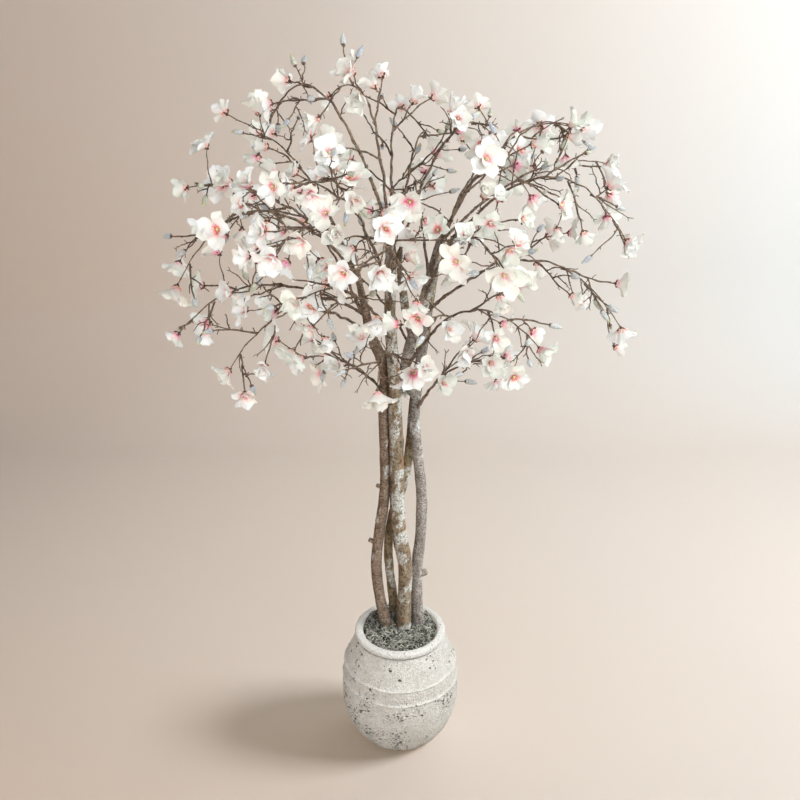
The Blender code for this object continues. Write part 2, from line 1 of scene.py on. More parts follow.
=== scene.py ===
# %% [markdown]
# # Potted magnolia
# The real object is an artificial tree. Four natural stems stand in a rough stoneware pot
# on a bed of dried moss. Long wired twigs leave them high up and arch out like an
# umbrella, and end in cloth blossoms and furry buds.
#
# The lesson loads the plain solid model first. It grows the same crown again by the same
# seeded rule, carries it on to finer twigs, and gives each surface its true relief.

from collections import namedtuple
import itertools
import math
import random

import bpy
import numpy as np
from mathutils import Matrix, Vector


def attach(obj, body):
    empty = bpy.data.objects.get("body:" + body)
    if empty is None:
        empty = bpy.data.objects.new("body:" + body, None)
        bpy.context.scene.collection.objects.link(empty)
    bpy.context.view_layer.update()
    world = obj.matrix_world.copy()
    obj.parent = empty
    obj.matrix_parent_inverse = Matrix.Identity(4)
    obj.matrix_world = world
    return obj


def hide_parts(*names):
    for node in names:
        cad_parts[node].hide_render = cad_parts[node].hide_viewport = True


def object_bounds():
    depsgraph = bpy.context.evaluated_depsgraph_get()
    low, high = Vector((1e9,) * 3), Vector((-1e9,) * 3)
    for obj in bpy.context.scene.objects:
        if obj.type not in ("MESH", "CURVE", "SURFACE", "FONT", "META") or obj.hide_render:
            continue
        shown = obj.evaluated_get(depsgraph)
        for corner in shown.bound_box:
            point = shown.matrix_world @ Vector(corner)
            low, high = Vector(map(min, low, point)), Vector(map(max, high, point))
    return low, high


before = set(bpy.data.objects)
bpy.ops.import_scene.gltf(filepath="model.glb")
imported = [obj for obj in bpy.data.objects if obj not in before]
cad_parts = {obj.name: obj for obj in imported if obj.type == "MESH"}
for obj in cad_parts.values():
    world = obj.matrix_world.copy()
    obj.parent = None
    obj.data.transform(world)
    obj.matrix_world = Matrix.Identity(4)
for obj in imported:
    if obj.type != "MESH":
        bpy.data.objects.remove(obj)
solid_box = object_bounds()
print(len(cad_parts), "nodes, box", [round(v, 3) for v in (*solid_box[0], *solid_box[1])])

# %% [markdown]
# ## Camera
# The photograph looks down on the tree from 3 m up with a long lens. Its tilt follows from
# the two ellipses of the pot, its lip and its foot.

# %% Camera
CAMERA_PLACE = (0, -3.395, 2.993)
CAMERA_DIP = 28.3
LENS = 63
SENSOR = 36

camera = bpy.data.objects.new("camera", bpy.data.cameras.new("camera"))
camera.data.lens = LENS
camera.data.sensor_width = SENSOR
camera.location = CAMERA_PLACE
camera.rotation_euler = (math.radians(90 - CAMERA_DIP), 0, 0)
bpy.context.scene.collection.objects.link(camera)
bpy.context.scene.camera = camera
print("camera", CAMERA_PLACE[2], "m up, looking", CAMERA_DIP, "degrees down")

# %% [markdown]
# ## Colours and nodes
# A colour is written as a screen shows it, from 0 to 255, and worked out as light. Every
# material is built by the same few functions: they place a node, set its inputs or link
# them to other nodes, and hand on its output.

# %% Colours as a painter reads them
def srgb(red, green, blue):
    """A screen colour from 0 to 255 as the linear light that shaders work in.

    Each channel c is c/255, then ((c + .055) / 1.055) to the power 2.4.
    """
    channels = (np.array([red, green, blue]) / 255 + 0.055) / 1.055
    return (*(channels ** 2.4).tolist(), 1.0)


def plain_material(name, colour, roughness):
    """A new material with one Principled shader, with its node tree and that shader."""
    material = bpy.data.materials.new(name)
    material.use_nodes = True
    tree = material.node_tree
    shader = tree.nodes["Principled BSDF"]
    shader.inputs["Base Color"].default_value = colour
    shader.inputs["Roughness"].default_value = roughness
    return material, tree, shader


print("black, middle grey and white:", [round(srgb(*[v] * 3)[0], 3) for v in (0, 128, 255)])

# %% Node helpers
def link_in(tree, socket, source):
    """Sets a socket to a plain value, or links it to another node's output."""
    if isinstance(source, bpy.types.NodeSocket):
        tree.links.new(source, socket)
    elif source is not None:
        socket.default_value = source


def add_node(tree, kind, inputs=None, **settings):
    """A node with its settings, and its inputs set or linked by name or number."""
    node = tree.nodes.new(kind)
    for title, value in settings.items():
        setattr(node, title, value)
    for title, source in (inputs or {}).items():
        link_in(tree, node.inputs[title], source)
    return node


def result(tree, kind, inputs=None, **settings):
    """The first output of a new node."""
    return add_node(tree, kind, inputs, **settings).outputs[0]


def calculate(tree, operation, *values):
    """A Math node's result from sockets or plain numbers."""
    return result(tree, "ShaderNodeMath", dict(enumerate(values)), operation=operation)


def blend(tree, share, first, second):
    """Mixes two colours by a share that varies over the surface."""
    ends = {0: share, 6: first, 7: second}
    return add_node(tree, "ShaderNodeMix", ends, data_type="RGBA").outputs[2]


def spread_out(tree, value, low, high, start=0.0, end=1.0):
    """Reads a value's range from low to high as start to end, with soft ends."""
    ends = {"Value": value, 1: low, 2: high, 3: start, 4: end}
    return result(tree, "ShaderNodeMapRange", ends, interpolation_type="SMOOTHSTEP")


def mark(tree, name):
    """A value that a mesh keeps with each of its points."""
    return add_node(tree, "ShaderNodeAttribute", attribute_name=name).outputs["Fac"]


def object_place(tree):
    """Places on the object itself, in metres."""
    return add_node(tree, "ShaderNodeTexCoord").outputs["Object"]


def object_noise(tree, size, octaves=5.0, stretch=None):
    """Noise on the object itself, whose grains are about size metres across."""
    place = object_place(tree)
    if stretch:
        place = result(tree, "ShaderNodeMapping", {"Vector": place, "Scale": stretch})
    ends = {"Vector": place, "Scale": calculate(tree, "DIVIDE", 1.0, size), "Detail": octaves}
    return result(tree, "ShaderNodeTexNoise", ends)


def raised(tree, height, distance):
    """A normal that follows a height, where 1 stands a distance out."""
    return result(tree, "ShaderNodeBump", {"Height": height, "Distance": distance})


def paint(tree, shader, colour=None, normal=None):
    """Links a colour and a normal to a Principled shader, where they are given."""
    link_in(tree, shader.inputs["Base Color"], colour)
    link_in(tree, shader.inputs["Normal"], normal)


print("node helpers ready for", bpy.app.version_string)

# %% [markdown]
# ## Studio paper
# The studio is one sheet of paper that runs along the floor and sweeps up behind the tree,
# so that no corner shows. Its rear face is clear, so that the tree can also be looked at
# from behind, and outside the photograph's frame it fades to the plain colour of the room.

# %% Studio paper
PAPER = srgb(228, 220, 212)
PAPER_ROUGHNESS = 0.9
PAPER_HALF_WIDTH = 9.0
PAPER_FRONT = -7.0
WALL_PLACE = 2.25
WALL_TOP = 6.0
SWEEP_RADIUS = 0.55
SWEEP_STEPS = 24
ROOM_COLOUR = srgb(218, 207, 196)
# Where the paper has faded out, and where it is still whole
FADE_ASIDE = (2.9, 1.9)
FADE_FORWARD = (-1.6, -0.5)
FADE_UP = (3.8, 2.8)


def seen_by_eye(tree):
    """1 for what the camera sees itself, and 0 for all other light."""
    return add_node(tree, "ShaderNodeLightPath").outputs["Is Camera Ray"]


def mix_shaders(tree, share, first, second):
    """The first shader, mixed with a share of the second."""
    return result(tree, "ShaderNodeMixShader", {0: share, 1: first, 2: second})


def paper_material():
    """Matt paper that is clear from behind, and has the room's colour far from the tree.

    How near it is to the tree is the product of three soft steps: in |x|, in y and in z.
    The room's colour is shown to the eye alone, so that it lights nothing.
    """
    material, tree, shader = plain_material("paper", PAPER, PAPER_ROUGHNESS)
    x, y, z = add_node(tree, "ShaderNodeSeparateXYZ", {0: object_place(tree)}).outputs
    near = spread_out(tree, calculate(tree, "ABSOLUTE", x), *FADE_ASIDE)
    for value, ends in ((y, FADE_FORWARD), (z, FADE_UP)):
        near = calculate(tree, "MULTIPLY", near, spread_out(tree, value, *ends))
    far = calculate(tree, "MULTIPLY", seen_by_eye(tree), calculate(tree, "SUBTRACT", 1.0, near))
    plain = result(tree, "ShaderNodeEmission", {"Color": ROOM_COLOUR})
    front = mix_shaders(tree, far, shader.outputs[0], plain)
    faces_away = add_node(tree, "ShaderNodeNewGeometry").outputs["Backfacing"]
    surface = mix_shaders(tree, faces_away, front, result(tree, "ShaderNodeBsdfTransparent"))
    link_in(tree, tree.nodes["Material Output"].inputs["Surface"], surface)
    return material


def studio_paper():
    """A sheet: flat floor, then a quarter circle of the sweep radius, then a wall."""
    turn = np.linspace(0, math.pi / 2, SWEEP_STEPS)
    sweep_y = WALL_PLACE - SWEEP_RADIUS + SWEEP_RADIUS * np.sin(turn)
    sweep_z = SWEEP_RADIUS * (1 - np.cos(turn))
    y = np.concatenate([[PAPER_FRONT], sweep_y, [WALL_PLACE]])
    z = np.concatenate([[0], sweep_z, [WALL_TOP]])
    x = np.array([-PAPER_HALF_WIDTH, PAPER_HALF_WIDTH])
    points = np.stack(np.broadcast_arrays(x[None, :], y[:, None], z[:, None]), -1)
    rows = np.arange(len(y) - 1)[:, None] * 2 + np.array([0, 1, 3, 2])
    mesh = bpy.data.meshes.new("paper")
    mesh.from_pydata(points.reshape(-1, 3).tolist(), [], rows.tolist())
    mesh.shade_smooth()
    mesh.materials.append(paper_material())
    sheet = bpy.data.objects.new("paper", mesh)
    bpy.context.scene.collection.objects.link(sheet)
    print("paper", round(float(z.max()), 2), "m tall,", round(float(y.max()), 2), "m behind the tree")
    return sheet


paper = studio_paper()

# %% [markdown]
# ## Light
# The paper and the tree have lights of their own, as in a catalogue picture. Those of the
# paper make the soft change from a warm left side to a white right one, and only the pot
# throws a shadow on it. Those of the tree come from the right, the front and the left, and
# the left one spares the stems, which stay dark on that side. White petals get less of each,
# so that they keep their shading. Thin cloth also glows where it is shaded: two weak lights
# that nothing shades stand in for that, one in front and one behind.

# %% Soft lights
def light_set(name, thing=None, state="INCLUDE"):
    """A set that limits a light to one thing, or keeps the light off it."""
    members = bpy.data.collections.new(name)
    if thing:
        join_set(members, thing, state)
    return members


def join_set(members, thing, state="INCLUDE"):
    """Puts one more thing in a set, as lit or as left out."""
    members.objects.link(thing)
    members.collection_objects[-1].light_linking.link_state = state


def soft_light(name, place, target, size, power, colour, lit, shading=None):
    """A square area light at a place, turned to look at its target.

    It lights one set of things, and another set may be all that shades it.
    """
    lamp = bpy.data.lights.new(name, "AREA")
    lamp.size = size
    lamp.energy = power
    lamp.color = colour
    light = bpy.data.objects.new(name, lamp)
    way = np.array(target, float) - place
    light.location = place
    flat = math.hypot(way[0], way[1])
    light.rotation_euler = (math.atan2(flat, -way[2]), 0, math.atan2(-way[0], way[1]))
    light.light_linking.receiver_collection = lit
    light.light_linking.blocker_collection = shading
    bpy.context.scene.collection.objects.link(light)


backdrop = light_set("the paper", paper)
plant_and_pot = light_set("all but the paper", paper, "EXCLUDE")
pot_shade = light_set("what shades the paper")
crown_and_pot = light_set("neither paper nor stems", paper, "EXCLUDE")
petals_alone = light_set("petals")
WHITE_LIGHT = (1.0, 1.0, 1.0)
PETAL_LIGHT_SHARE = 0.66
# Of each: name, place, target, size, power, colour, and what alone shades it
PAPER_LIGHTS = (
    ("low", (3.4, 0, 3.0), (-2.4, -0.3, 1.9), 1.5, 176, (1.0, 0.97, 0.96), pot_shade),
    ("cool", (4.89, -4.75, 0.5), (1.38, 1.77, 0.33), 1.18, 100, (0.0, 0.75, 1.0), backdrop),
    ("corner", (3.51, -0.51, 0.5), (3.68, 0.64, 1.33), 1.21, 72, (0.47, 0.73, 1.0), backdrop),
    ("back", (-1.15, 1.44, 2.7), (0.72, -1.48, 1.92), 1.36, 18, (1.0, 1.0, 0.86), backdrop),
    ("warm", (-2.86, -2.62, 0.5), (2.5, -1.03, 0.02), 0.83, 74, (1.0, 0.34, 0.0), backdrop),
)
# Of each: name, place, target, size, power, and what it lights beside the petals
TREE_LIGHTS = (
    ("key", (4.5, -0.7, 5.0), (0, 0, 0.6), 2.1, 350, plant_and_pot),
    ("front", (1.5, -3.6, 3.2), (0, 0, 1.4), 1.5, 135, plant_and_pot),
    ("side", (-3.0, -2.2, 2.0), (0, 0, 1.4), 1.3, 66, crown_and_pot),
)
PETAL_FILLS = (
    ("petal fill", (-1.6, -3.3, 2.4), (-0.2, 0, 1.4), 1.6, 42),
    ("rear petal fill", (0.8, 1.9, 2.6), (0, 0, 1.4), 1.2, 10),
)
for *light, shading in PAPER_LIGHTS:
    soft_light(*light, backdrop, shading)
for name, place, target, size, power, lit in TREE_LIGHTS:
    soft_light(name, place, target, size, power, WHITE_LIGHT, lit)
    soft_light("petal " + name, place, target, size, PETAL_LIGHT_SHARE * power, WHITE_LIGHT,
               petals_alone)
for light in PETAL_FILLS:
    soft_light(*light, WHITE_LIGHT, petals_alone, backdrop)
print(len(bpy.data.lights), "lights of", round(sum(lamp.energy for lamp in bpy.data.lights)), "W")

# %% Room round the paper
ROOM_GLOW = (1.0, 0.96, 0.91, 1)
ROOM_GLOW_STRENGTH = 0.14

world = bpy.data.worlds.new("studio")
world.use_nodes = True
room = world.node_tree
glow = room.nodes["Background"]
glow.inputs["Color"].default_value = ROOM_GLOW
glow.inputs["Strength"].default_value = ROOM_GLOW_STRENGTH
sight = result(room, "ShaderNodeBackground", {"Color": ROOM_COLOUR})
link_in(room, room.nodes["World Output"].inputs["Surface"],
        mix_shaders(room, seen_by_eye(room), glow.outputs[0], sight))
bpy.context.scene.world = world
bpy.context.scene.view_settings.view_transform = "Standard"
print("room glows at", ROOM_GLOW_STRENGTH)

# %% [markdown]
# ## From arrays to meshes
# Everything on the plant is made of thousands of small shapes. Each is worked out as whole
# arrays: a stack of rings along a path, or a grid of two parameters. A heap gathers them
# and writes one mesh, which is far quicker than thousands of objects.

# %% Vector helpers and smooth noise
UP = np.array([0.0, 0.0, 1.0])
TINY = 1e-12
# Numbers that scatter a cube's corner to a random value
CORNER_FACTORS = (7919, 10007, 12007)
CORNER_COUNT = 65521
SINE_FACTOR = 12.9898
SINE_SCALE = 43758.5453
SEED_SHIFT = 31.7


def unit(vectors):
    """Each vector divided by its length."""
    return vectors / np.maximum(np.linalg.norm(vectors, axis=-1, keepdims=True), TINY)


def step_up(values, low, high):
    """0 below low, 1 above high, and t*t*(3-2t) between them."""
    t = np.clip((values - low) / (high - low), 0, 1)
    return t * t * (3 - 2 * t)


def noise(points, size, seed=0):
    """A smooth random field from -1 to 1.

    Random values sit at the corners of cubes of that size. Between them they are blended
    along each axis by t*t*(3-2t).
    """
    spot = np.asarray(points) / size + SEED_SHIFT * seed
    cell = np.floor(spot).astype(np.int64)
    part = spot - cell
    part = part * part * (3 - 2 * part)
    total = np.zeros(spot.shape[:-1])
    for corner in itertools.product((0, 1), repeat=3):
        key = ((cell + corner) * CORNER_FACTORS).sum(-1) % CORNER_COUNT
        value = np.modf(np.sin(key * SINE_FACTOR) * SINE_SCALE)[0]
        weight = np.where(corner, part, 1 - part).prod(-1)
        total += weight * value
    return total


def layered(points, *layers):
    """The sum of noises, each given as its weight, size and seed."""
    return sum(weight * noise(points, size, seed) for weight, size, seed in layers)


def distances(path):
    """How far along a path each of its points lies."""
    return np.concatenate([[0], np.cumsum(np.linalg.norm(np.diff(path, axis=0), axis=1))])


def even_angles(count):
    """Angles evenly round a circle, from 0."""
    return 2 * math.pi * np.arange(count) / count


def read_at(values, marks, rows):
    """Rows of numbers that stand at the marks, read at values between them."""
    return np.stack([np.interp(values, marks, column) for column in rows.T], -1)


def smooth_curve(rows, spacing):
    """Rows of numbers read along a smooth curve through them, a spacing apart.

    Between two rows it is the cubic whose slopes there are those of their neighbours. The
    first three numbers of a row are its place, which measures the spacing.
    """
    along = distances(rows[:, :3])
    slopes = np.gradient(rows, along, axis=0)
    s = np.linspace(0, along[-1], max(3, round(along[-1] / spacing) + 1))
    k = np.clip(np.searchsorted(along, s, "right") - 1, 0, len(rows) - 2)
    gap = (along[k + 1] - along[k])[:, None]
    t = (s - along[k])[:, None] / gap
    ends = rows[k] * (1 + 2 * t) * (1 - t) ** 2 + rows[k + 1] * t * t * (3 - 2 * t)
    return ends + gap * t * (1 - t) * (slopes[k] * (1 - t) - slopes[k + 1] * t)


print("noise along a metre runs from %.2f to %.2f" % tuple(
    pick(noise(np.outer(np.linspace(0, 1, 500), UP), 0.01)) for pick in (np.min, np.max)))

# %% Heaps of small shapes and finished pieces
class Heap:
    """Small shapes gathered for one mesh: points, faces by corner count, and finishes."""

    def __init__(self):
        self.points, self.faces, self.looks, self.maps = [], [], [], []
        self.count = 0

    def add(self, points, faces, looks=0, maps=None):
        """Adds points and a list of face arrays, with a finish number for each face."""
        looks = looks if isinstance(looks, list) else [looks] * len(faces)
        self.points.append(points.reshape(-1, 3))
        for block, look in zip(faces, looks):
            self.faces.append(block + self.count)
            self.looks.append(np.broadcast_to(look, len(block)))
        if maps is not None:
            self.maps.append(maps.reshape(-1, 2))
        self.count += len(self.points[-1])


def new_piece(name, heap, finishes, nodes=(), marks=None, crease=40):
    """Writes a heap into one object that rides on the body and stands for its nodes.

    Marks are values kept with each point, for the material to read.
    """
    corners = np.concatenate([block.ravel() for block in heap.faces])
    sizes = np.concatenate([np.full(len(block), block.shape[1]) for block in heap.faces])
    points = np.concatenate(heap.points)
    mesh = bpy.data.meshes.new(name)
    mesh.vertices.add(len(points))
    mesh.vertices.foreach_set("co", points.ravel())
    mesh.loops.add(len(corners))
    mesh.loops.foreach_set("vertex_index", corners)
    mesh.polygons.add(len(sizes))
    mesh.polygons.foreach_set("loop_start", np.cumsum(sizes) - sizes)
    mesh.polygons.foreach_set("material_index", np.concatenate(heap.looks))
    mesh.update(calc_edges=True)
    mesh.validate()
    mesh.shade_smooth()
    mesh.set_sharp_from_angle(angle=math.radians(crease))
    for title, values in (marks or {}).items():
        mesh.attributes.new(title, "FLOAT", "POINT").data.foreach_set("value", np.ravel(values))
    if heap.maps:
        layer = mesh.uv_layers.new(name="along")
        layer.data.foreach_set("uv", np.concatenate(heap.maps)[corners].ravel())
    for finish in finishes:
        mesh.materials.append(finish)
    piece = bpy.data.objects.new(name, mesh)
    bpy.context.scene.collection.objects.link(piece)
    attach(piece, "root")
    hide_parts(*nodes)
    print(name, (sizes - 2).sum(), "triangles")
    return piece


# %% Rings along paths
def path_frames(paths):
    """The way along each path, and two vectors square to it that twist as little as can be."""
    ways = unit(np.gradient(paths, axis=-2))
    level = np.abs(ways[..., 0, 2:]) < 0.9
    side = np.cross(np.where(level, UP, np.array([1.0, 0, 0])), ways[..., 0, :])
    sides = np.empty_like(paths)
    for k in range(paths.shape[-2]):
        way = ways[..., k, :]
        side = unit(side - way * (side * way).sum(-1, keepdims=True))
        sides[..., k, :] = side
    return ways, sides, np.cross(ways, sides)


def ring_faces(stacks, rings, corners):
    """Side faces between neighbouring rings, and one flat face at each end of a stack."""
    index = np.arange(stacks * rings * corners).reshape(stacks, rings, corners)
    beside = np.roll(index, -1, axis=2)
    sides = np.stack([index[:, :-1], beside[:, :-1], beside[:, 1:], index[:, 1:]], -1)
    return [sides.reshape(-1, 4), index[:, 0, ::-1], index[:, -1]]


def tubes(paths, radii, corners):
    """Points and faces of a stack of tubes, with rings of points square to their paths.

    A ring point is the path's plus r(cos(a) u + sin(a) v). Radii come one to a ring, or one
    to each of its corners.
    """
    _, first, second = path_frames(paths)
    a = even_angles(corners)[:, None]
    spokes = np.cos(a) * first[..., None, :] + np.sin(a) * second[..., None, :]
    radii = radii[..., None] if radii.ndim == paths.ndim - 1 else radii
    points = paths[..., None, :] + spokes * radii[..., None]
    return points, ring_faces(math.prod(paths.shape[:-2]), paths.shape[-2], corners)


print("a tube of 3 rings with 6 corners has", sum(map(len, ring_faces(1, 3, 6))), "faces")

# %% [markdown]
# ## Where the limbs run
# The stems are real wood, so each has its own bends, measured on the photograph: height
# above the moss, place and radius. A spray is one long wired twig. It leaves its stem at a
# height and a bearing, climbs, then sags under its blossoms. These are the same numbers
# and the same rule that the solid model is made with, so both crowns agree.

# %% Stems and sprays
MOSS_TOP = 0.372

# Of each bend: height above the moss, x, y, radius
STEMS = {
    "left_stem": [
        (0, -.040, .018, .0185), (.10, -.058, .018, .0160), (.24, -.070, .018, .0155),
        (.35, -.060, .018, .0160), (.46, -.046, .020, .0155), (.75, -.045, .024, .0155),
        (.88, -.044, .030, .0155), (.98, -.078, .022, .0140), (1.08, -.096, .008, .0105),
        (1.23, -.123, -.012, .0085)],
    "centre_stem": [
        (0, .011, .012, .0225), (.10, .013, .010, .0200), (.25, .014, .006, .0205),
        (.33, .001, .002, .0215), (.40, -.006, 0, .0210), (.58, -.008, 0, .0195),
        (.72, -.012, 0, .0180), (.90, -.018, 0, .0160), (1.05, -.027, 0, .0150),
        (1.15, -.024, .004, .0145), (1.24, -.024, .004, .0130), (1.34, -.044, 0, .0100)],
    "right_stem": [
        (0, .056, .030, .0185), (.10, .051, .030, .0165), (.20, .050, .030, .0165),
        (.35, .061, .030, .0158), (.50, .060, .030, .0155), (.62, .048, .032, .0145),
        (.72, .042, .045, .0135), (.82, .050, .055, .0140), (.97, .066, .056, .0125),
        (1.04, .077, .052, .0105)],
    "back_stem": [
        (0, -.012, .062, .0160), (.12, -.025, .058, .0135), (.30, -.033, .052, .0130),
        (.38, -.022, .054, .0130), (.50, .014, .064, .0130), (.62, .030, .076, .0130),
        (.75, .040, .086, .0125), (.95, .070, .090, .0120), (1.12, .090, .078, .0110),
        (1.24, .112, .062, .0090)],
    "right_fork": [
        (.775, .046, .050, .0120), (.81, .027, .034, .0125), (.85, .013, .021, .0135),
        (.90, .016, .012, .0145), (1.00, .038, .002, .0150), (1.10, .066, -.004, .0145),
        (1.20, .090, -.004, .0140), (1.27, .106, 0, .0110)],
    "centre_fork": [
        (.985, .034, .004, .0110), (1.04, .018, .018, .0110), (1.10, .009, .024, .0105),
        (1.17, -.001, .030, .0090)],
}

# Stem, height above the moss, bearing from +X, reach, climb, sag, sway, bough
SPRAYS = {
    "left_top": ("left_stem", 1.23, 172, .43, .20, .04, .00, True),
    "left_arch": ("left_stem", 1.17, -157, .48, .33, .28, .00, True),
    "left_up": ("left_stem", 1.13, 138, .36, .34, .00, .00, False),
    "left_out": ("left_stem", 1.04, -168, .50, .20, .20, .02, True),
    "left_low": ("left_stem", .98, -141, .45, .22, .18, .00, True),
    "left_under": ("left_stem", .80, -146, .25, .18, .00, .01, False),
    "top_left": ("centre_stem", 1.34, 162, .34, .46, .34, -.01, True),
    "top_peak": ("centre_stem", 1.26, 150, .17, .45, .09, -.05, False),
    "top_back": ("centre_stem", 1.20, 85, .32, .38, .06, .01, False),
    "top_right": ("centre_stem", 1.15, 0, .25, .50, .10, -.02, True),
    "right_top": ("right_fork", 1.27, 28, .42, .31, .08, .02, True),
    "right_arch": ("right_fork", 1.13, -14, .26, .48, .20, -.08, False),
    "right_high": ("right_fork", 1.20, -4, .49, .36, .28, .01, True),
    "right_back": ("back_stem", 1.24, 32, .55, .18, .07, .01, True),
    "right_out": ("right_stem", 1.04, -17, .52, .28, .26, .00, True),
    "right_low": ("right_fork", .87, -46, .47, .38, .14, -.03, True),
    "right_under": ("right_stem", .73, -42, .28, .25, .01, -.01, False),
    "front_left_high": ("centre_stem", 1.11, -112, .46, .48, .04, -.02, True),
    "front_left": ("left_stem", 1.09, -112, .50, .40, .08, .02, True),
    "front_left_low": ("centre_stem", .97, -118, .46, .32, .02, .01, True),
    "front": ("centre_stem", 1.05, -92, .50, .42, .08, .01, True),
    "front_right": ("right_fork", 1.09, -70, .50, .38, .10, -.01, True),
    "front_low": ("centre_stem", .90, -97, .32, .17, .08, .00, False),
    "back_left": ("left_stem", .93, 128, .52, .40, .18, .01, True),
    "back": ("back_stem", 1.06, 95, .50, .30, .18, .01, True),
    "back_right": ("back_stem", 1.17, 62, .48, .26, .14, .01, True),
    "back_low_left": ("back_stem", .86, 128, .44, .24, .14, .01, True),
    "middle_back": ("centre_fork", 1.17, 70, .24, .36, .06, .01, False),
}
Spray = namedtuple("Spray", "stem height bearing reach climb sag sway has_bough")
SPRAYS = {name: Spray(*row) for name, row in SPRAYS.items()}
print(len(STEMS), "stems,", len(SPRAYS), "sprays")

# %% Curves of stems and sprays
SPRAY_BASE_RADIUS = 0.0072
SPRAY_TIP_RADIUS = 0.0022
SPRAY_TAPER = 0.8
SPRAY_STEPS = 24
BOUGH_STEPS = 9
MASS_STRIDE = 3


def bearing(degrees):
    """A level unit vector at a bearing from +X, and the level vector to its left."""
    a = math.radians(degrees)
    return np.array([math.cos(a), math.sin(a), 0]), np.array([-math.sin(a), math.cos(a), 0])


def turned(vector, axis, angle):
    """v cos(a) + (axis x v) sin(a) + axis (axis.v)(1 - cos(a))."""
    along = axis * (axis @ vector) * (1 - math.cos(angle))
    return vector * math.cos(angle) + np.cross(axis, vector) * math.sin(angle) + along


def any_side(direction):
    """A unit vector square to the direction."""
    other = UP if abs(direction[2]) < .8 else np.array([1.0, 0, 0])
    return unit(np.cross(other, direction))


def directions_round(axes, angles):
    """Unit vectors square to each axis, at each of its angles round it."""
    first = np.array([any_side(axis) for axis in axes])
    second = np.cross(axes, first)
    return np.cos(angles)[..., None] * first[:, None] + np.sin(angles)[..., None] * second[:, None]


def stem_rows(name):
    """The stem's bends as points, and its radius at each."""
    rows = np.array(STEMS[name], float)
    return np.stack([rows[:, 1], rows[:, 2], rows[:, 0] + MOSS_TOP], 1), rows[:, 3]


def stem_at(name, height):
    """The middle of a stem at a height above the moss."""
    points, _ = stem_rows(name)
    z = height + MOSS_TOP
    return np.append(read_at(z, points[:, 2], points[:, :2]), z)


def spray_curve(name):
    """Points, directions and radii along a spray.

    It runs out evenly, climbs as 1-(1-t)^2, sags as t^3 and sways as half a sine wave.
    """
    parent, height, degrees, reach, climb, sag, sway, _ = SPRAYS[name]
    out, left = bearing(degrees)
    t = np.linspace(0, 1, SPRAY_STEPS + 1)
    rise = climb * (1 - (1 - t) ** 2) - sag * t ** 3
    points = stem_at(parent, height) + np.outer(reach * t, out) + np.outer(rise, UP)
    points += np.outer(sway * np.sin(math.pi * t), left)
    slope = 2 * climb * (1 - t) - 3 * sag * t ** 2
    ways = np.outer(np.full_like(t, reach), out) + np.outer(slope, UP)
    ways += np.outer(sway * math.pi * np.cos(math.pi * t), left)
    radii = SPRAY_BASE_RADIUS + (SPRAY_TIP_RADIUS - SPRAY_BASE_RADIUS) * t ** SPRAY_TAPER
    return points, unit(ways), radii


def mass_start(name):
    """The step of the spray at which its mass of twigs begins."""
    return BOUGH_STEPS if SPRAYS[name].has_bough else 0


spray_lengths = [distances(spray_curve(name)[0])[-1] for name in SPRAYS]
print("sprays of %.2f to %.2f m" % (min(spray_lengths), max(spray_lengths)))

# %% [markdown]
# ## Growing the crown
# Each spray grows twigs to its left and right in turn. A twig is kept only where it is
# clear of all that stands already, and a blossom or a bud goes on its tip. Every
# choice comes from a generator seeded by the spray's number, so the crown is the same at
# each run. A list of straight pieces with a radius is enough to test for room: the nearest
# point of a piece to p is a + s(b - a), with s cut to between 0 and 1.

# %% Room in the crown
CLEAR = 0.002
NEARBY = 0.09
TEST_STEP = 0.008
CROWN_ROOM = 60000


def dense(points, step=TEST_STEP):
    """The same path with a point at least every step."""
    path = [points[0]]
    for start, end in zip(points[:-1], points[1:]):
        count = max(1, math.ceil(np.linalg.norm(end - start) / step))
        path += [start + (end - start) * k / count for k in range(1, count + 1)]
    return np.array(path)


class Crown:
    """Everything placed so far: straight pieces with a radius, numbered by their owner."""

    def __init__(self, room=CROWN_ROOM):
        self.starts, self.spans = np.zeros((room, 3)), np.zeros((room, 3))
        self.radii, self.owners = np.zeros(room), np.zeros(room, int)
        self.count, self.numbers = 0, {}

    def add_path(self, points, radii, owner):
        """Places the straight pieces of a path."""
        number = self.numbers.setdefault(owner, len(self.numbers))
        for k in range(len(points) - 1):
            self.starts[self.count] = points[k]
            self.spans[self.count] = points[k + 1] - points[k]
            self.radii[self.count] = max(radii[k], radii[k + 1])
            self.owners[self.count] = number
            self.count += 1

    def add_ball(self, centre, radius, owner):
        """Places a ball, as a piece with no length."""
        self.add_path([centre, centre], [radius, radius], owner)

    def clear_of(self, points, radius, but=()):
        """Least room between balls at the points and every limb not named in but."""
        points = np.atleast_2d(points)
        numbers = [self.numbers.get(owner, -1) for owner in but]
        middle = (points.min(0) + points.max(0)) / 2
        span = np.linalg.norm(points.max(0) - points.min(0)) / 2
        starts, spans = self.starts[:self.count], self.spans[:self.count]
        far = np.linalg.norm(starts + spans / 2 - middle, axis=1)
        near = far < np.linalg.norm(spans, axis=1) / 2 + span + NEARBY
        near &= ~np.isin(self.owners[:self.count], numbers)
        if not near.any():
            return NEARBY
        starts, spans, radii = starts[near], spans[near], self.radii[:self.count][near]
        lengths = np.maximum((spans * spans).sum(1), TINY)
        offsets = points[:, None] - starts[None]
        along = np.clip((offsets * spans[None]).sum(2) / lengths[None], 0, 1)
        nearest = offsets - along[..., None] * spans[None]
        return (np.linalg.norm(nearest, axis=2) - radii[None]).min() - radius


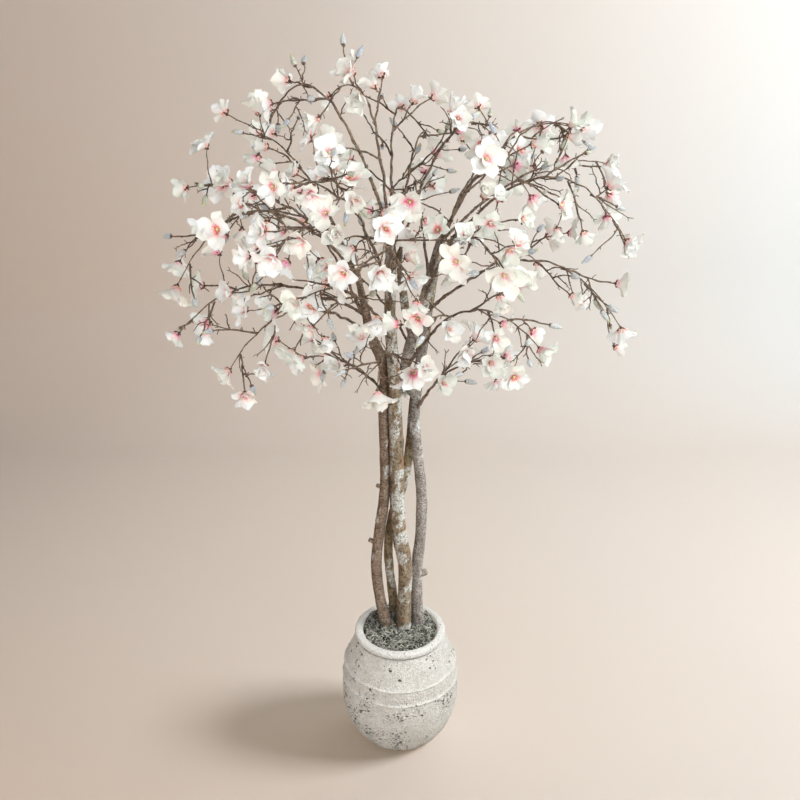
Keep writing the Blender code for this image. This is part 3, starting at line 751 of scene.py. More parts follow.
# %% Sizes of the growth rule
TWIGS_PER_MASS = 5
TWIG_STEPS = 4
FIRST_TWIG = (.10, .26)
LAST_TWIG = 0.88
TWIG_RADIUS = 0.0020
TWIG_LEAN = (34, 58)
TWIG_ROLL = 38
TWIG_LENGTH = (.34, .52)
TWIG_SHORTENING = (1.08, .55)
TWIG_WANDER = 0.20
TWIG_DROOP = 0.25
TWIG_TRIES = 6
TRY_SHORTENING = 0.1
SPUR_SHARE = 0.60
SPUR_LEAN = (40, 62)
SPUR_LENGTH = (.35, .5)
SPUR_TWIST = 0.4
SPUR_BLOOM_SHARE = 0.6
JOINT_REACH = 0.018
PETAL_BALLS = 5
PETAL_LENGTH = (.040, .056)
PETAL_LIFTS = (20, 32, 46)
STEM_BLOOM_LIFT = 30
BLOOM_TRIES = 5
BLOOM_OUTWARD = 0.45
BLOOM_WANDER = 0.5
PETAL_BALL = (.58, .36, .42)
HEART_BALL = 0.30
BUD_TURN = (5, 3)
BUD_LENGTH = 0.028
print(TWIGS_PER_MASS, "main twigs to a spray, each up to", TWIG_LENGTH[1], "of its length")

# %% The growth rule
def bloom_balls(base, axis, size):
    """The room a blossom takes: a ball over each petal and one over the heart."""
    outward, forward, share = PETAL_BALL
    around = directions_round(axis[None], even_angles(PETAL_BALLS)[None])[0]
    balls = base + size * (outward * around + forward * axis)
    return np.vstack([balls, base + size * HEART_BALL * axis]), size * share


def beyond_joint(points):
    """Places all along a twig, but for those close to its joint."""
    places = dense(points)
    return places[np.linalg.norm(places - points[0], axis=1) > JOINT_REACH]


class Twig:
    """A twig's points, its kind, and the bud or blossom on its tip."""

    def __init__(self, points, kind, label):
        self.points, self.kind, self.label = points, kind, label
        self.tip = None


class Mass:
    """One spray's twigs, blossoms and buds, grown from its stem by a seeded rule."""

    def __init__(self, name, number, crown):
        self.name, self.number, self.crown = name, number, crown
        self.random = random.Random(number)
        self.out, _ = bearing(SPRAYS[name].bearing)
        self.twigs = []

    def wander(self, amount, down=0.0):
        """A small random vector, more of it downwards where down is given."""
        draw = self.random.uniform
        return amount * np.array([draw(-1, 1), draw(-1, 1), draw(-1 - down, 1 - down)])

    def path(self, base, way, length, steps):
        """A twig's points: it turns a little at each step and sinks on the whole."""
        points = [base]
        for _ in range(steps):
            way = unit(way + self.wander(TWIG_WANDER, TWIG_DROOP))
            points.append(points[-1] + way * length / steps)
        return np.array(points), way

    def keep(self, points, kind, label, radius):
        """Takes a twig into the mass and the crown."""
        twig = Twig(points, kind, "%s_%s%d" % (self.name, label, len(self.twigs)))
        self.crown.add_path(points, [radius] * len(points), twig.label)
        self.twigs.append(twig)
        return twig

    def add_twig(self, points, kind, owner):
        """Keeps a twig if all of it but its joint is clear of everything placed."""
        places = beyond_joint(points)
        if len(places) == 0 or self.crown.clear_of(places, TWIG_RADIUS, (owner,)) < CLEAR:
            return None
        return self.keep(points, kind, "twig", TWIG_RADIUS)

    def add_bloom(self, twig, way):
        """Puts a blossom on a tip, facing out along it, where there is room."""
        base = twig.points[-1]
        for _ in range(BLOOM_TRIES):
            size = self.random.uniform(*PETAL_LENGTH)
            axis = unit(way + BLOOM_OUTWARD * self.out + self.wander(BLOOM_WANDER))
            centres, radius = bloom_balls(base, axis, size)
            if self.crown.clear_of(centres, radius, (twig.label,)) > CLEAR:
                twig.tip = ("bloom", axis, size)
                for centre in centres:
                    self.crown.add_ball(centre, radius, twig.label + "_bloom")
                return True
        return False

    def add_bud(self, twig, way):
        """Puts a bud on a tip where there is room."""
        centre, radius = twig.points[-1] + way * BUD_LENGTH / 2, BUD_LENGTH / 2
        if self.crown.clear_of(centre, radius, (twig.label,)) > CLEAR:
            twig.tip = ("bud", way)
            self.crown.add_ball(centre, radius, twig.label + "_bud")

    def finish_tip(self, twig, way, bloom):
        """A blossom where one is wanted and fits, or else a bud."""
        if not (bloom and self.add_bloom(twig, way)):
            self.add_bud(twig, way)

    def side_twig(self, base, way, length, left):
        """One side twig: it leaves the stem to one side, at the first try that is clear."""
        over = unit(UP - way * way[2])
        for attempt in range(TWIG_TRIES):
            roll = math.radians(self.random.uniform(-TWIG_ROLL, TWIG_ROLL) + (0 if left else 180))
            lean = math.radians(self.random.uniform(*TWIG_LEAN))
            start = turned(way, turned(over, way, roll), lean)
            shortened = length * (1 - TRY_SHORTENING * attempt)
            points, end = self.path(base, start, shortened, TWIG_STEPS)
            twig = self.add_twig(points, "side", self.name)
            if twig:
                return twig, end
        return None, None

    def spur(self, parent, length):
        """A short spur from a side twig, which ends in a bud or a small blossom."""
        joint = self.random.choice((1, 2))
        points = parent.points
        way = unit(points[joint + 1] - points[joint])
        axis = unit(np.cross(way, UP) + self.wander(SPUR_TWIST))
        lean = math.radians(self.random.choice((-1, 1)) * self.random.uniform(*SPUR_LEAN))
        path, end = self.path(points[joint], turned(way, axis, lean), length, 2)
        twig = self.add_twig(path, "spur", parent.label)
        if twig:
            self.finish_tip(twig, end, self.random.random() < SPUR_BLOOM_SHARE)

    def grow(self):
        """Blossom at the tip, then side twigs in turn to the left and the right."""
        first = mass_start(self.name)
        points, ways, _ = (row[first::MASS_STRIDE] for row in spray_curve(self.name))
        length = distances(points)[-1]
        self.stem = Twig(points, "stem", self.name)
        self.add_bloom(self.stem, ways[-1])
        left = self.random.random() < .5
        lowest = FIRST_TWIG[first == 0]
        longest, loss = TWIG_SHORTENING
        turns, bud_turn = BUD_TURN
        for k, along in enumerate(np.linspace(lowest, LAST_TWIG, TWIGS_PER_MASS)):
            step, share = divmod(along * (len(points) - 1), 1)
            start, end = points[int(step)], points[int(step) + 1]
            left = not left
            reach = length * self.random.uniform(*TWIG_LENGTH) * (longest - loss * along)
            twig, way = self.side_twig(start + share * (end - start), unit(end - start), reach, left)
            if twig:
                self.finish_tip(twig, way, k % turns != bud_turn)
                if self.random.random() < SPUR_SHARE:
                    self.spur(twig, reach * self.random.uniform(*SPUR_LENGTH))


def place_sprays(kind):
    """All stems and sprays in the crown, then one mass of the given kind for each spray."""
    crown = Crown()
    for name in STEMS:
        crown.add_path(*stem_rows(name), name)
    for name in SPRAYS:
        points, _, radii = spray_curve(name)
        crown.add_path(points, radii, name)
    masses = [kind(name, number, crown) for number, name in enumerate(SPRAYS, start=1)]
    for mass in masses:
        mass.grow()
    return masses


# %% [markdown]
# ## Finer twigs
# The solid crown stops at its main twigs. In the real sprays a thin shoot often runs beside
# the main one before it parts, and short sprigs fork off all along, each ending in a bud, a
# blossom or a bare prong. They are grown here into the room that is left, by the same test,
# from a generator of their own.

# %% Sizes of shoots and sprigs
FINE_SEED = 500
SHOOTS = (0, 1)
SHOOT_START = (.03, .22)
SHOOT_END = (.42, .84)
SHOOT_SPREAD = (.05, .14)
SHOOT_SIDES = 0.6
SHOOT_PARTING = 1.6
SHOOT_SINK = 0.4
SHOOT_TIPS = (.70, .20)
SHOOT_POINTS = 9
SHOOT_RADIUS = 0.0030
SPRIG_SPACING = (.150, .300)
SPRIG_LENGTH = (.032, .120)
SPRIG_LEAN = (30, 62)
SPRIG_TRIES = 3
SPRIG_BLOOM_SHARE = 0.84
SPRIG_BUD_SHARE = 0.13
TWIGLET_LENGTH = (.016, .040)
TWIGLET_SHARE = 0.22
REACH_MARGIN = 0.045
FINE_CLEAR = CLEAR / 4
FINE_STEP = 0.004
FIRST_SPRIG = 0.30
FIRST_STEM_SPRIG = 0.42
FIRST_FULL_SPRIG = 0.16
LAST_SPRIG = 0.93
BARE_SPRAYS = ("top_peak", "top_back", "middle_back", "back_left", "back_right",
               "back_low_left", "right_back", "right_arch")
OPEN_SPRAYS = ("top_left", "top_right", "right_top", "left_top", "left_arch", "left_up", "back")
FULL_SPRAYS = ("front", "front_left", "front_left_high", "front_right", "front_low",
               "right_low", "right_high")
OPEN_SPACING = 1.9
FULL_SPACING = 0.48
FULL_BLOOM_SHARE = 0.90
print(len(BARE_SPRAYS), "bare,", len(OPEN_SPRAYS), "open and", len(FULL_SPRAYS), "full sprays")

# %% Shoots and sprigs
class FullMass(Mass):
    """A mass carried on to shoots that run beside its stem, sprigs and twiglets."""

    def refine(self):
        """Shoots first, then sprigs on the stem, the shoots and the main twigs.

        An open spray, with sky behind it, has no shoots and sprigs further apart. A full one,
        in front of the limbs, has them closer and from further down. A bare one has none.
        """
        self.random = random.Random(FINE_SEED + self.number)
        self.full = self.name in FULL_SPRAYS
        self.spacing = FULL_SPACING if self.full else 1
        if self.name in OPEN_SPRAYS:
            self.spacing = OPEN_SPACING
        self.stem.points = spray_curve(self.name)[0]
        if self.name in BARE_SPRAYS:
            return
        main = list(self.twigs)
        count = self.random.randint(*SHOOTS) if self.spacing == 1 else 0
        shoots = [self.shoot() for _ in range(count)]
        for parent in [self.stem] + [shoot for shoot in shoots if shoot] + main:
            self.sprigs(parent)

    def shoot(self):
        """A thin shoot: beside the stem at first, then away from it as a power of s."""
        points, _, radii = spray_curve(self.name)
        spray = SPRAYS[self.name]
        _, left = bearing(spray.bearing)
        draw = self.random.uniform
        t = np.linspace(draw(*SHOOT_START), draw(*SHOOT_END), SHOOT_POINTS)
        s = np.linspace(0, 1, SHOOT_POINTS)
        steps = np.linspace(0, 1, len(points))
        a = draw(-SHOOT_SIDES, math.pi + SHOOT_SIDES)
        aside = math.cos(a) * left + math.sin(a) * UP
        beside = (np.interp(t, steps, radii) + SHOOT_SINK * SHOOT_RADIUS) * step_up(s, 0, .12)
        beside += draw(*SHOOT_SPREAD) * s ** SHOOT_PARTING
        path = read_at(t, steps, points) + np.outer(beside, aside)
        twig = self.fit(path, "shoot", (self.name, spray.stem))
        if twig:
            self.dress(twig, unit(path[-1] - path[-2]), *SHOOT_TIPS)
        return twig

    def fit(self, points, kind, owners):
        """Keeps a fine twig where it is clear of all else and within the solid crown's reach."""
        places = beyond_joint(points)
        low, high = (np.array(corner) for corner in solid_box)
        beyond = (points < low + REACH_MARGIN).any() or (points > high - REACH_MARGIN).any()
        if beyond or (len(places) and self.crown.clear_of(places, 0, owners) < FINE_CLEAR):
            return None
        return self.keep(points, kind, "fine", TWIG_RADIUS / 2)

    def dress(self, twig, way, bloom_share, bud_share):
        """Draws what the tip carries: a blossom, a bud or nothing."""
        lot = self.random.random()
        if lot < bloom_share:
            self.add_bloom(twig, way)
        elif lot < bloom_share + bud_share:
            self.add_bud(twig, way)

    def sprigs(self, parent):
        """Sprigs all along a twig, each at a new angle round it."""
        path = dense(parent.points, FINE_STEP)
        along = distances(path)
        first = FIRST_SPRIG
        if parent is self.stem:
            first = FIRST_FULL_SPRIG if self.full else FIRST_STEM_SPRIG
        s = along[-1] * first
        while s < along[-1] * LAST_SPRIG:
            k = min(int(np.searchsorted(along, s)), len(path) - 3)
            way = unit(path[k + 2] - path[k])
            sprig = self.branch(path[k], way, self.random.uniform(*SPRIG_LENGTH), 3, parent.label)
            if sprig and self.random.random() < TWIGLET_SHARE:
                way = unit(sprig.points[2] - sprig.points[1])
                self.branch(sprig.points[1], way, self.random.uniform(*TWIGLET_LENGTH), 2, sprig.label)
            s += self.random.uniform(*SPRIG_SPACING) * self.spacing

    def branch(self, base, way, length, steps, owner):
        """One fine branch at the first angle that is clear."""
        bloom_share = FULL_BLOOM_SHARE if self.full else SPRIG_BLOOM_SHARE
        for _ in range(SPRIG_TRIES):
            axis = turned(any_side(way), way, self.random.uniform(0, 2 * math.pi))
            lean = math.radians(self.random.uniform(*SPRIG_LEAN))
            points, end = self.path(base, turned(way, axis, lean), length, steps)
            twig = self.fit(points, "sprig", (owner,))
            if twig:
                self.dress(twig, end, bloom_share, SPRIG_BUD_SHARE)
                return twig
        return None


masses = place_sprays(FullMass)
solid_tips = [twig.tip[0] for mass in masses for twig in mass.twigs + [mass.stem] if twig.tip]
print("main growth:", solid_tips.count("bloom"), "blossoms,", solid_tips.count("bud"), "buds")
for mass in masses:
    mass.refine()
tips = [twig.tip[0] for mass in masses for twig in mass.twigs + [mass.stem] if twig.tip]
print(sum(len(mass.twigs) for mass in masses), "twigs,", tips.count("bloom"), "blossoms,",
      tips.count("bud"), "buds")

# %% [markdown]
# ## Finishes shared by many pieces
# Bark, moss, stone and cloth all need the same few effects at different sizes: blotches
# of two colours, small spots, and a fine roughness of the surface. Each effect is a group
# with named sockets, built once. A group gives out only colours, masks and normals, and
# the shader itself stays in the material.

# %% Groups of nodes
def new_group(name, inputs, output, kind):
    """A shader group with float or colour inputs and one output, and its end nodes."""
    tree = bpy.data.node_groups.new(name, "ShaderNodeTree")
    for title, value in inputs.items():
        sort = "NodeSocketColor" if isinstance(value, tuple) else "NodeSocketFloat"
        socket = tree.interface.new_socket(title, in_out="INPUT", socket_type=sort)
        socket.default_value = value
    tree.interface.new_socket(output, in_out="OUTPUT", socket_type=kind)
    return tree, add_node(tree, "NodeGroupInput").outputs, add_node(tree, "NodeGroupOutput").inputs


def use_group(tree, group, **inputs):
    """Places a group, sets its inputs by their names in small letters, and reads its output."""
    ends = {title.capitalize(): source for title, source in inputs.items()}
    return result(tree, "ShaderNodeGroup", ends, node_tree=group)


# %% Three effects
mottle, given, wanted = new_group(
    "mottle", {"Dark": (0, 0, 0, 1), "Pale": (1, 1, 1, 1), "Size": 0.02}, "Color", "NodeSocketColor")
share = spread_out(mottle, object_noise(mottle, given["Size"]), 0.35, 0.65)
link_in(mottle, wanted["Color"], blend(mottle, share, given["Dark"], given["Pale"]))

spots, given, wanted = new_group("spots", {"Size": 0.008, "Reach": 0.25}, "Mask", "NodeSocketFloat")
scale = calculate(spots, "DIVIDE", 1.0, given["Size"])
ends = {"Vector": object_place(spots), "Scale": scale, "Randomness": 1.0}
away = add_node(spots, "ShaderNodeTexVoronoi", ends).outputs["Distance"]
edge = calculate(spots, "MULTIPLY", given["Reach"], 0.6)
link_in(spots, wanted["Mask"], spread_out(spots, away, edge, given["Reach"], 1.0, 0.0))

relief, given, wanted = new_group(
    "relief", {"Size": 0.002, "Depth": 0.0004}, "Normal", "NodeSocketVector")
grain = object_noise(relief, given["Size"], 8.0)
link_in(relief, wanted["Normal"], raised(relief, grain, given["Depth"]))


def mottled(tree, dark, pale, size):
    """Two screen colours in blotches of about a size."""
    return use_group(tree, mottle, dark=srgb(*dark), pale=srgb(*pale), size=size)


def mottled_material(name, colour, roughness, dark, pale, size, grain=None):
    """A material of two blotched colours, and with a grain's size and depth a fine relief."""
    material, tree, shader = plain_material(name, srgb(*colour), roughness)
    normal = use_group(tree, relief, size=grain[0], depth=grain[1]) if grain else None
    paint(tree, shader, mottled(tree, dark, pale, size), normal)
    return material


print("groups:", [group.name for group in bpy.data.node_groups])

# %% [markdown]
# ## Stems with real bark
# A plain tube would look like pipe. The bark has slow swellings, fine cracks that run
# lengthwise, raised patches of pale lichen and rusty flakes. The relief is worked out from
# noise at each point of a fine grid of rings, and the same masks are kept with the points
# so that the colours fall exactly on their patches.

# %% Bark relief
RING_SPACING = 0.0036
BARK_SIDES = 44
# The finish numbers of a tube's side, its lower end and its upper end
SAWN_TOP = [0, 0, 1]
SWELLING = 0.055
SWELLING_SIZE = 0.05
CRACKS = 0.0008
FINE_CRACKS = 0.00032
LICHEN_RISE = 0.0009
RUST_RISE = 0.0005
PATCH_STRETCH = {"lichen": .8, "rust": .7}
PATCH_SIZE = {"lichen": .034, "rust": .019}
CRACK_STRETCH = 0.3
KNOT_SQUASH = 0.75
KNOT_DIMPLE = (.9, 2.6)
STUB_RISE = 0.55
STUB_FLARE = 0.25
STUB_ROUGHNESS = 0.12
STUB_RINGS = 12
STUB_SIDES = 14

# Lichen and rust cover: 1 is nearly everywhere, and below 0 only a speck is left
COVER = {
    "left_stem": (-.02, -.24), "centre_stem": (.58, .24), "right_stem": (.05, -.50),
    "back_stem": (.44, .06), "right_fork": (.30, -.40), "centre_fork": (.42, .20),
}

# Knots: stem, height above the moss, bearing, radius, rise
KNOTS = [
    ("left_stem", .60, -60, .011, .0030), ("centre_stem", .125, -100, .013, .0036),
    ("centre_stem", .435, -70, .015, .0040), ("centre_stem", .66, -20, .014, .0042),
    ("right_stem", .045, -50, .013, .0034), ("right_stem", .44, 10, .010, .0020),
    ("right_stem", .63, -40, .012, .0024), ("back_stem", .42, 20, .011, .0030),
    ("left_stem", .20, -120, .010, .0024), ("centre_stem", .86, -90, .012, .0028),
]
# Sawn stubs: stem, height above the moss, bearing, length, radius
STUBS = [
    ("left_stem", .305, 178, .030, .0065), ("left_stem", .495, 186, .024, .0055),
    ("right_stem", .185, -8, .032, .0095), ("back_stem", .590, 20, .022, .0060),
]


def patches(points, size, cover, seed):
    """A mask that is 1 on about that share of the surface: three layers of noise, cut."""
    field = layered(points, (1, size, seed), (.6, size * .35, seed + 1), (.3, size * .12, seed + 2))
    return step_up(field, 0.56 - 1.1 * cover, 0.80 - 1.1 * cover)


def bark_relief(name, points, radii, seed):
    """How far the bark stands out at each point, and its lichen and rust masks.

    Swellings r s n(5 cm), cracks along the stem c n(9 mm) and finer ones f n(4 mm), then the
    patches, and the knots: each rises as exp(-a**2) round its middle, less a narrow dimple.
    """
    lichen_cover, rust_cover = COVER[name]
    long_way = points * (1, 1, CRACK_STRETCH)
    lichen, rust = (
        patches(points * (1, 1, PATCH_STRETCH[kind]), PATCH_SIZE[kind], cover, seed + shift)
        for kind, cover, shift in (("lichen", lichen_cover, 0), ("rust", rust_cover - .30, 5)))
    rise = SWELLING * radii * noise(points, SWELLING_SIZE, seed + 3)
    rise += layered(long_way, (CRACKS, .009, seed + 4), (FINE_CRACKS, .004, seed + 6))
    rise += LICHEN_RISE * lichen * (1 + .6 * noise(points, .004, seed + 7))
    rise += RUST_RISE * rust * noise(points, .005, seed + 8)
    path, path_radii = stem_rows(name)
    for _, height, degrees, size, knot_rise in (knot for knot in KNOTS if knot[0] == name):
        radius = np.interp(height + MOSS_TOP, path[:, 2], path_radii)
        middle = stem_at(name, height) + radius * bearing(degrees)[0]
        away = np.linalg.norm((points - middle) * (1, 1, KNOT_SQUASH), axis=-1) / size
        depth, narrow = KNOT_DIMPLE
        rise += knot_rise * (np.exp(-away ** 2) - depth * np.exp(-(away * narrow) ** 2))
    return rise, lichen, rust


def stub_tube(name, height, degrees, length, radius, seed):
    """A sawn stub that leaves its stem sideways and upwards, a little rough and tapered."""
    s = np.linspace(0, 1, STUB_RINGS)
    way = unit(bearing(degrees)[0] + STUB_RISE * UP)
    path = (stem_at(name, height) + np.outer(s * length, way))[None]
    places = path[..., None, :] + np.arange(STUB_SIDES)[:, None] * .01
    rough = 1 + STUB_ROUGHNESS * noise(places, .012, seed)
    return tubes(path, rough * (radius * (1 + STUB_FLARE * (1 - s)))[None, :, None], STUB_SIDES)


def stem_heap(name, seed):
    """One stem as a fine grid of rings with its relief, its sawn stubs, and its marks."""
    points, radii = stem_rows(name)
    rows = smooth_curve(np.column_stack([points, radii]), RING_SPACING)
    path, radius = rows[None, :, :3], np.repeat(rows[None, :, 3, None], BARK_SIDES, 2)
    skin, faces = tubes(path, radius, BARK_SIDES)
    rise, lichen, rust = bark_relief(name, skin, radius, seed)
    heap = Heap()
    heap.add(skin + (skin - path[..., None, :]) * (rise / radius)[..., None], faces, SAWN_TOP)
    marks = {"lichen": [lichen.ravel()], "rust": [rust.ravel()]}
    for stub in (stub for stub in STUBS if stub[0] == name):
        skin, faces = stub_tube(*stub, seed + 9)
        heap.add(skin, faces, SAWN_TOP)
        for values in marks.values():
            values.append(np.zeros(skin.size // 3))
    return heap, {title: np.concatenate(values) for title, values in marks.items()}


print(len(KNOTS), "knots,", len(STUBS), "sawn stubs")

# %% Bark materials
LICHENS = (172, 172, 163), (222, 224, 219)
RUSTS = (128, 96, 68), (178, 130, 88)
# Of each stem: slot, dark colour, pale colour, and how its streaks are drawn out
BARKS = {
    "left_stem": ("brown_bark", (86, 71, 56), (172, 152, 133), 1.6),
    "centre_stem": ("lichen_bark", (88, 75, 58), (168, 152, 128), .8),
    "right_stem": ("grey_bark", (92, 84, 77), (184, 177, 171), 2.2),
    "back_stem": ("dark_bark", (98, 83, 60), (172, 154, 122), .6),
    "right_fork": ("grey_bark", (98, 90, 80), (186, 179, 170), 1.4),
    "centre_fork": ("lichen_bark", (94, 79, 62), (164, 147, 124), .8),
}


def bark_material(name, dark, pale, stretch):
    """Bark: two browns in blotches and streaks, with lichen and rust where they are marked.

    A stretch below 1 draws the streaks out along the stem, above 1 round it.
    """
    material, tree, shader = plain_material(name, srgb(*pale), 0.85)
    dark, pale = srgb(*dark), srgb(*pale)
    middle = tuple((a + b) / 2 for a, b in zip(dark, pale))
    blotches = use_group(tree, mottle, dark=middle, pale=pale, size=.024)
    streaks = spread_out(tree, object_noise(tree, .007, 6.0, (1, 1, stretch)), .32, .54)
    wood = blend(tree, streaks, dark, blotches)
    wood = blend(tree, mark(tree, "lichen"), wood, mottled(tree, *LICHENS, .0055))
    wood = blend(tree, mark(tree, "rust"), wood, mottled(tree, *RUSTS, .006))
    crumbs = spread_out(tree, object_noise(tree, .0035, 4.0), .56, .66)
    flecks = calculate(tree, "MAXIMUM", use_group(tree, spots, size=.010, reach=.20), crumbs)
    paint(tree, shader, blend(tree, flecks, wood, dark),
          use_group(tree, relief, size=.0045, depth=.0028))
    return material


sawn_wood = mottled_material("sawn_wood", (140, 124, 104), 0.8, (112, 96, 80), (160, 144, 124), .004)
for seed, name in enumerate(STEMS):
    heap, marks = stem_heap(name, 20 * seed)
    slot, *look = BARKS[name]
    finishes = [bark_material(name + "_bark", *look), sawn_wood]
    piece = new_piece(name + "_bark", heap, finishes, [name], marks)
    join_set(crown_and_pot, piece, "EXCLUDE")

# %% [markdown]
# ## Twigs
# A moulded twig is knotty: it kinks at every bud scar, swells there, and bears short
# spurs. Each one is a tube along its smoothed path, pushed aside at kinks, with radii
# that jump at the knots. Bare tips end in two short prongs.

# %% Knotty paths
TWIG_RADII = {"side": (.0027, .0017), "spur": (.0021, .0014), "shoot": (.0027, .0016),
              "sprig": (.0019, .0012)}
TWIG_CORNERS = {"side": 6, "spur": 5, "shoot": 6, "sprig": 5}
KINK_SPACING = 0.022
KINK = 0.0034
TWIG_SPACING = 0.006
SPRAY_CORNERS = 9
SPRAY_SLENDER = 0.62
KNOT_SHARE = 0.22
KNOT_SWELLING = 1.22
FINE_KINK_SHARE = 0.8
SPUR_SPACING = (.026, .070)
SPUR_SIZES = (.004, .013)
SPUR_ANGLES = (45, 75)
SPUR_RADIUS = 0.0016
SPUR_SHAPE = (1.15, .85, .95)
BEND_PLACE = 0.6
PRONG_ANGLES = (20, 45)
PRONG_SIZES = (.006, .016)
PRONG_RADII = (.0012, .0010, .0009)
GROUPS = {"left": ("left_stem",), "centre": ("centre_stem", "centre_fork"),
          "right": ("right_stem", "back_stem", "right_fork")}
GROUP_MASSES = {group: [mass for mass in masses if SPRAYS[mass.name].stem in stems]
                for group, stems in GROUPS.items()}
detail = np.random.default_rng(7)


def knotty(points, radii, spacing, kink):
    """A path and radii along smoothed points, pushed aside by straight-edged random kinks.

    The push fades to nothing at both ends, so that joints and blossoms stay in place.
    """
    rows = smooth_curve(np.column_stack([points, radii]), spacing)
    s = np.linspace(0, 1, len(rows))
    length = spacing * len(rows)
    bends = max(2, round(length / KINK_SPACING)) + 1
    push = detail.uniform(-kink, kink, (bends, 3))
    aside = read_at(s, np.linspace(0, 1, bends), push)
    path = rows[:, :3] + aside * np.minimum(1, 4 * np.minimum(s, 1 - s))[:, None]
    swollen = np.where(detail.random(len(rows)) > 1 - KNOT_SHARE, KNOT_SWELLING, 1.0)
    return path, rows[:, 3] * (swollen * detail.uniform(.92, 1.08, len(rows)))


def rough_tube(path, radii, corners):
    """A tube whose corners each stand a little in or out."""
    rough = radii[:, None] * detail.uniform(.90, 1.10, (len(path), corners))
    return tubes(path[None], rough[None], corners)


def bent_paths(starts, ways, across, lean, reach, waver):
    """Three points each: out at a lean from the way, then bent a little at random."""
    heading = np.cos(lean) * ways + np.sin(lean) * across
    bend = unit(heading + waver * detail.normal(size=heading.shape))
    middle = starts + heading * reach * BEND_PLACE
    return np.stack([starts, middle, middle + bend * reach * (1 - BEND_PLACE)], 1)


def random_side(ways):
    """A random unit vector square to each way."""
    return unit(np.cross(ways, detail.normal(size=ways.shape)))


def spurs_along(path, radii):
    """Short spurs from a path: starts on its middle, leaning out at the spurs' angles."""
    step = distances(path)[-1] / max(len(path) - 1, 1)
    stride = max(1, round(detail.uniform(*SPUR_SPACING) / step))
    picks = np.arange(1, len(path) - 1, stride)
    if not len(picks):
        return np.zeros((0, 3, 3)), np.zeros((0, 3))
    ways = unit(path[picks + 1] - path[picks - 1])
    across = random_side(ways)
    lean = np.radians(detail.uniform(*SPUR_ANGLES, (len(picks), 1)))
    reach = detail.uniform(*SPUR_SIZES, (len(picks), 1)) + radii[picks][:, None]
    paths = bent_paths(path[picks], ways, across, lean, reach, .35)
    thick = np.minimum(radii[picks][:, None] * .7, SPUR_RADIUS)
    return paths, thick * detail.uniform(.8, 1.1, (len(picks), 3)) * SPUR_SHAPE


def prongs_at(tip, way):
    """Two prongs that part at a bare tip by the prongs' angles."""
    across = random_side(way)
    lean = np.radians(detail.uniform(*PRONG_ANGLES, 2)) * (1, -1)
    reach = detail.uniform(*PRONG_SIZES, (2, 1))
    starts = np.tile(tip, (2, 1))
    return bent_paths(starts, way, across, lean[:, None], reach, .3), np.tile(PRONG_RADII, (2, 1))


print({group: len(mine) for group, mine in GROUP_MASSES.items()}, "masses in each group")

# %% Twig bark and the twig pieces
def twig_material(name, dark, pale):
    """Dark moulded bark with paler flecks and a rough skin."""
    material, tree, shader = plain_material(name, srgb(*dark), 0.78)
    flecks = use_group(tree, spots, size=.005, reach=.22)
    skin = blend(tree, flecks, mottled(tree, dark, pale, .010), srgb(148, 128, 104))
    paint(tree, shader, skin, use_group(tree, relief, size=.0025, depth=.0008))
    return material


limb_finish = twig_material("limb_bark", (68, 55, 44), (128, 109, 90))
twig_finish = twig_material("twig_bark", (64, 50, 40), (118, 98, 80))
for group, mine in GROUP_MASSES.items():
    limbs, twigs = Heap(), Heap()
    fine = []
    for mass in mine:
        points, _, radii = spray_curve(mass.name)
        path, radii = knotty(points, SPRAY_SLENDER * radii, TWIG_SPACING, KINK)
        limbs.add(*rough_tube(path, radii, SPRAY_CORNERS))
        for twig in mass.twigs:
            radii = np.linspace(*TWIG_RADII[twig.kind], len(twig.points))
            path, radii = knotty(twig.points, radii, TWIG_SPACING, KINK * FINE_KINK_SHARE)
            twigs.add(*rough_tube(path, radii, TWIG_CORNERS[twig.kind]))
            fine.append(spurs_along(path, radii))
            if twig.tip is None:
                fine.append(prongs_at(path[-1], unit(path[-1] - path[-2])))
    twigs.add(*tubes(*map(np.concatenate, zip(*fine)), 4))
    boughs = ["bough_" + mass.name for mass in mine if SPRAYS[mass.name].has_bough]
    new_piece("limbs_" + group, limbs, [limb_finish], boughs)
    nodes = ["mass_" + mass.name for mass in mine]
    new_piece("twigs_" + group, twigs, [twig_finish], nodes)

# %% [markdown]
# ## Blossoms
# A magnolia blossom has two whorls of broad, cupped petals round a small green cone and a
# ring of stamens. A petal is a thin closed shell over a grid: its midrib is an arc that
# leans out more and more, its width swells and then runs to a blunt point, and its edge is
# cupped and ruffled. All petals of a piece are worked out at once. The dyed rings at
# the foot of each petal are plain colours dealt out face by face, with a ragged edge.

# %% Petals of all blossoms
PETAL_ROWS = 11
PETAL_COLUMNS = 7
PETAL_THICKNESS = 0.0009
PETAL_STRETCH = 1.02
OUTER_PETALS = 5
INNER_PETALS = 2
PETAL_END = 0.985
RUFFLES = (9, 2.4)
RIB_DEPTH = 0.0012


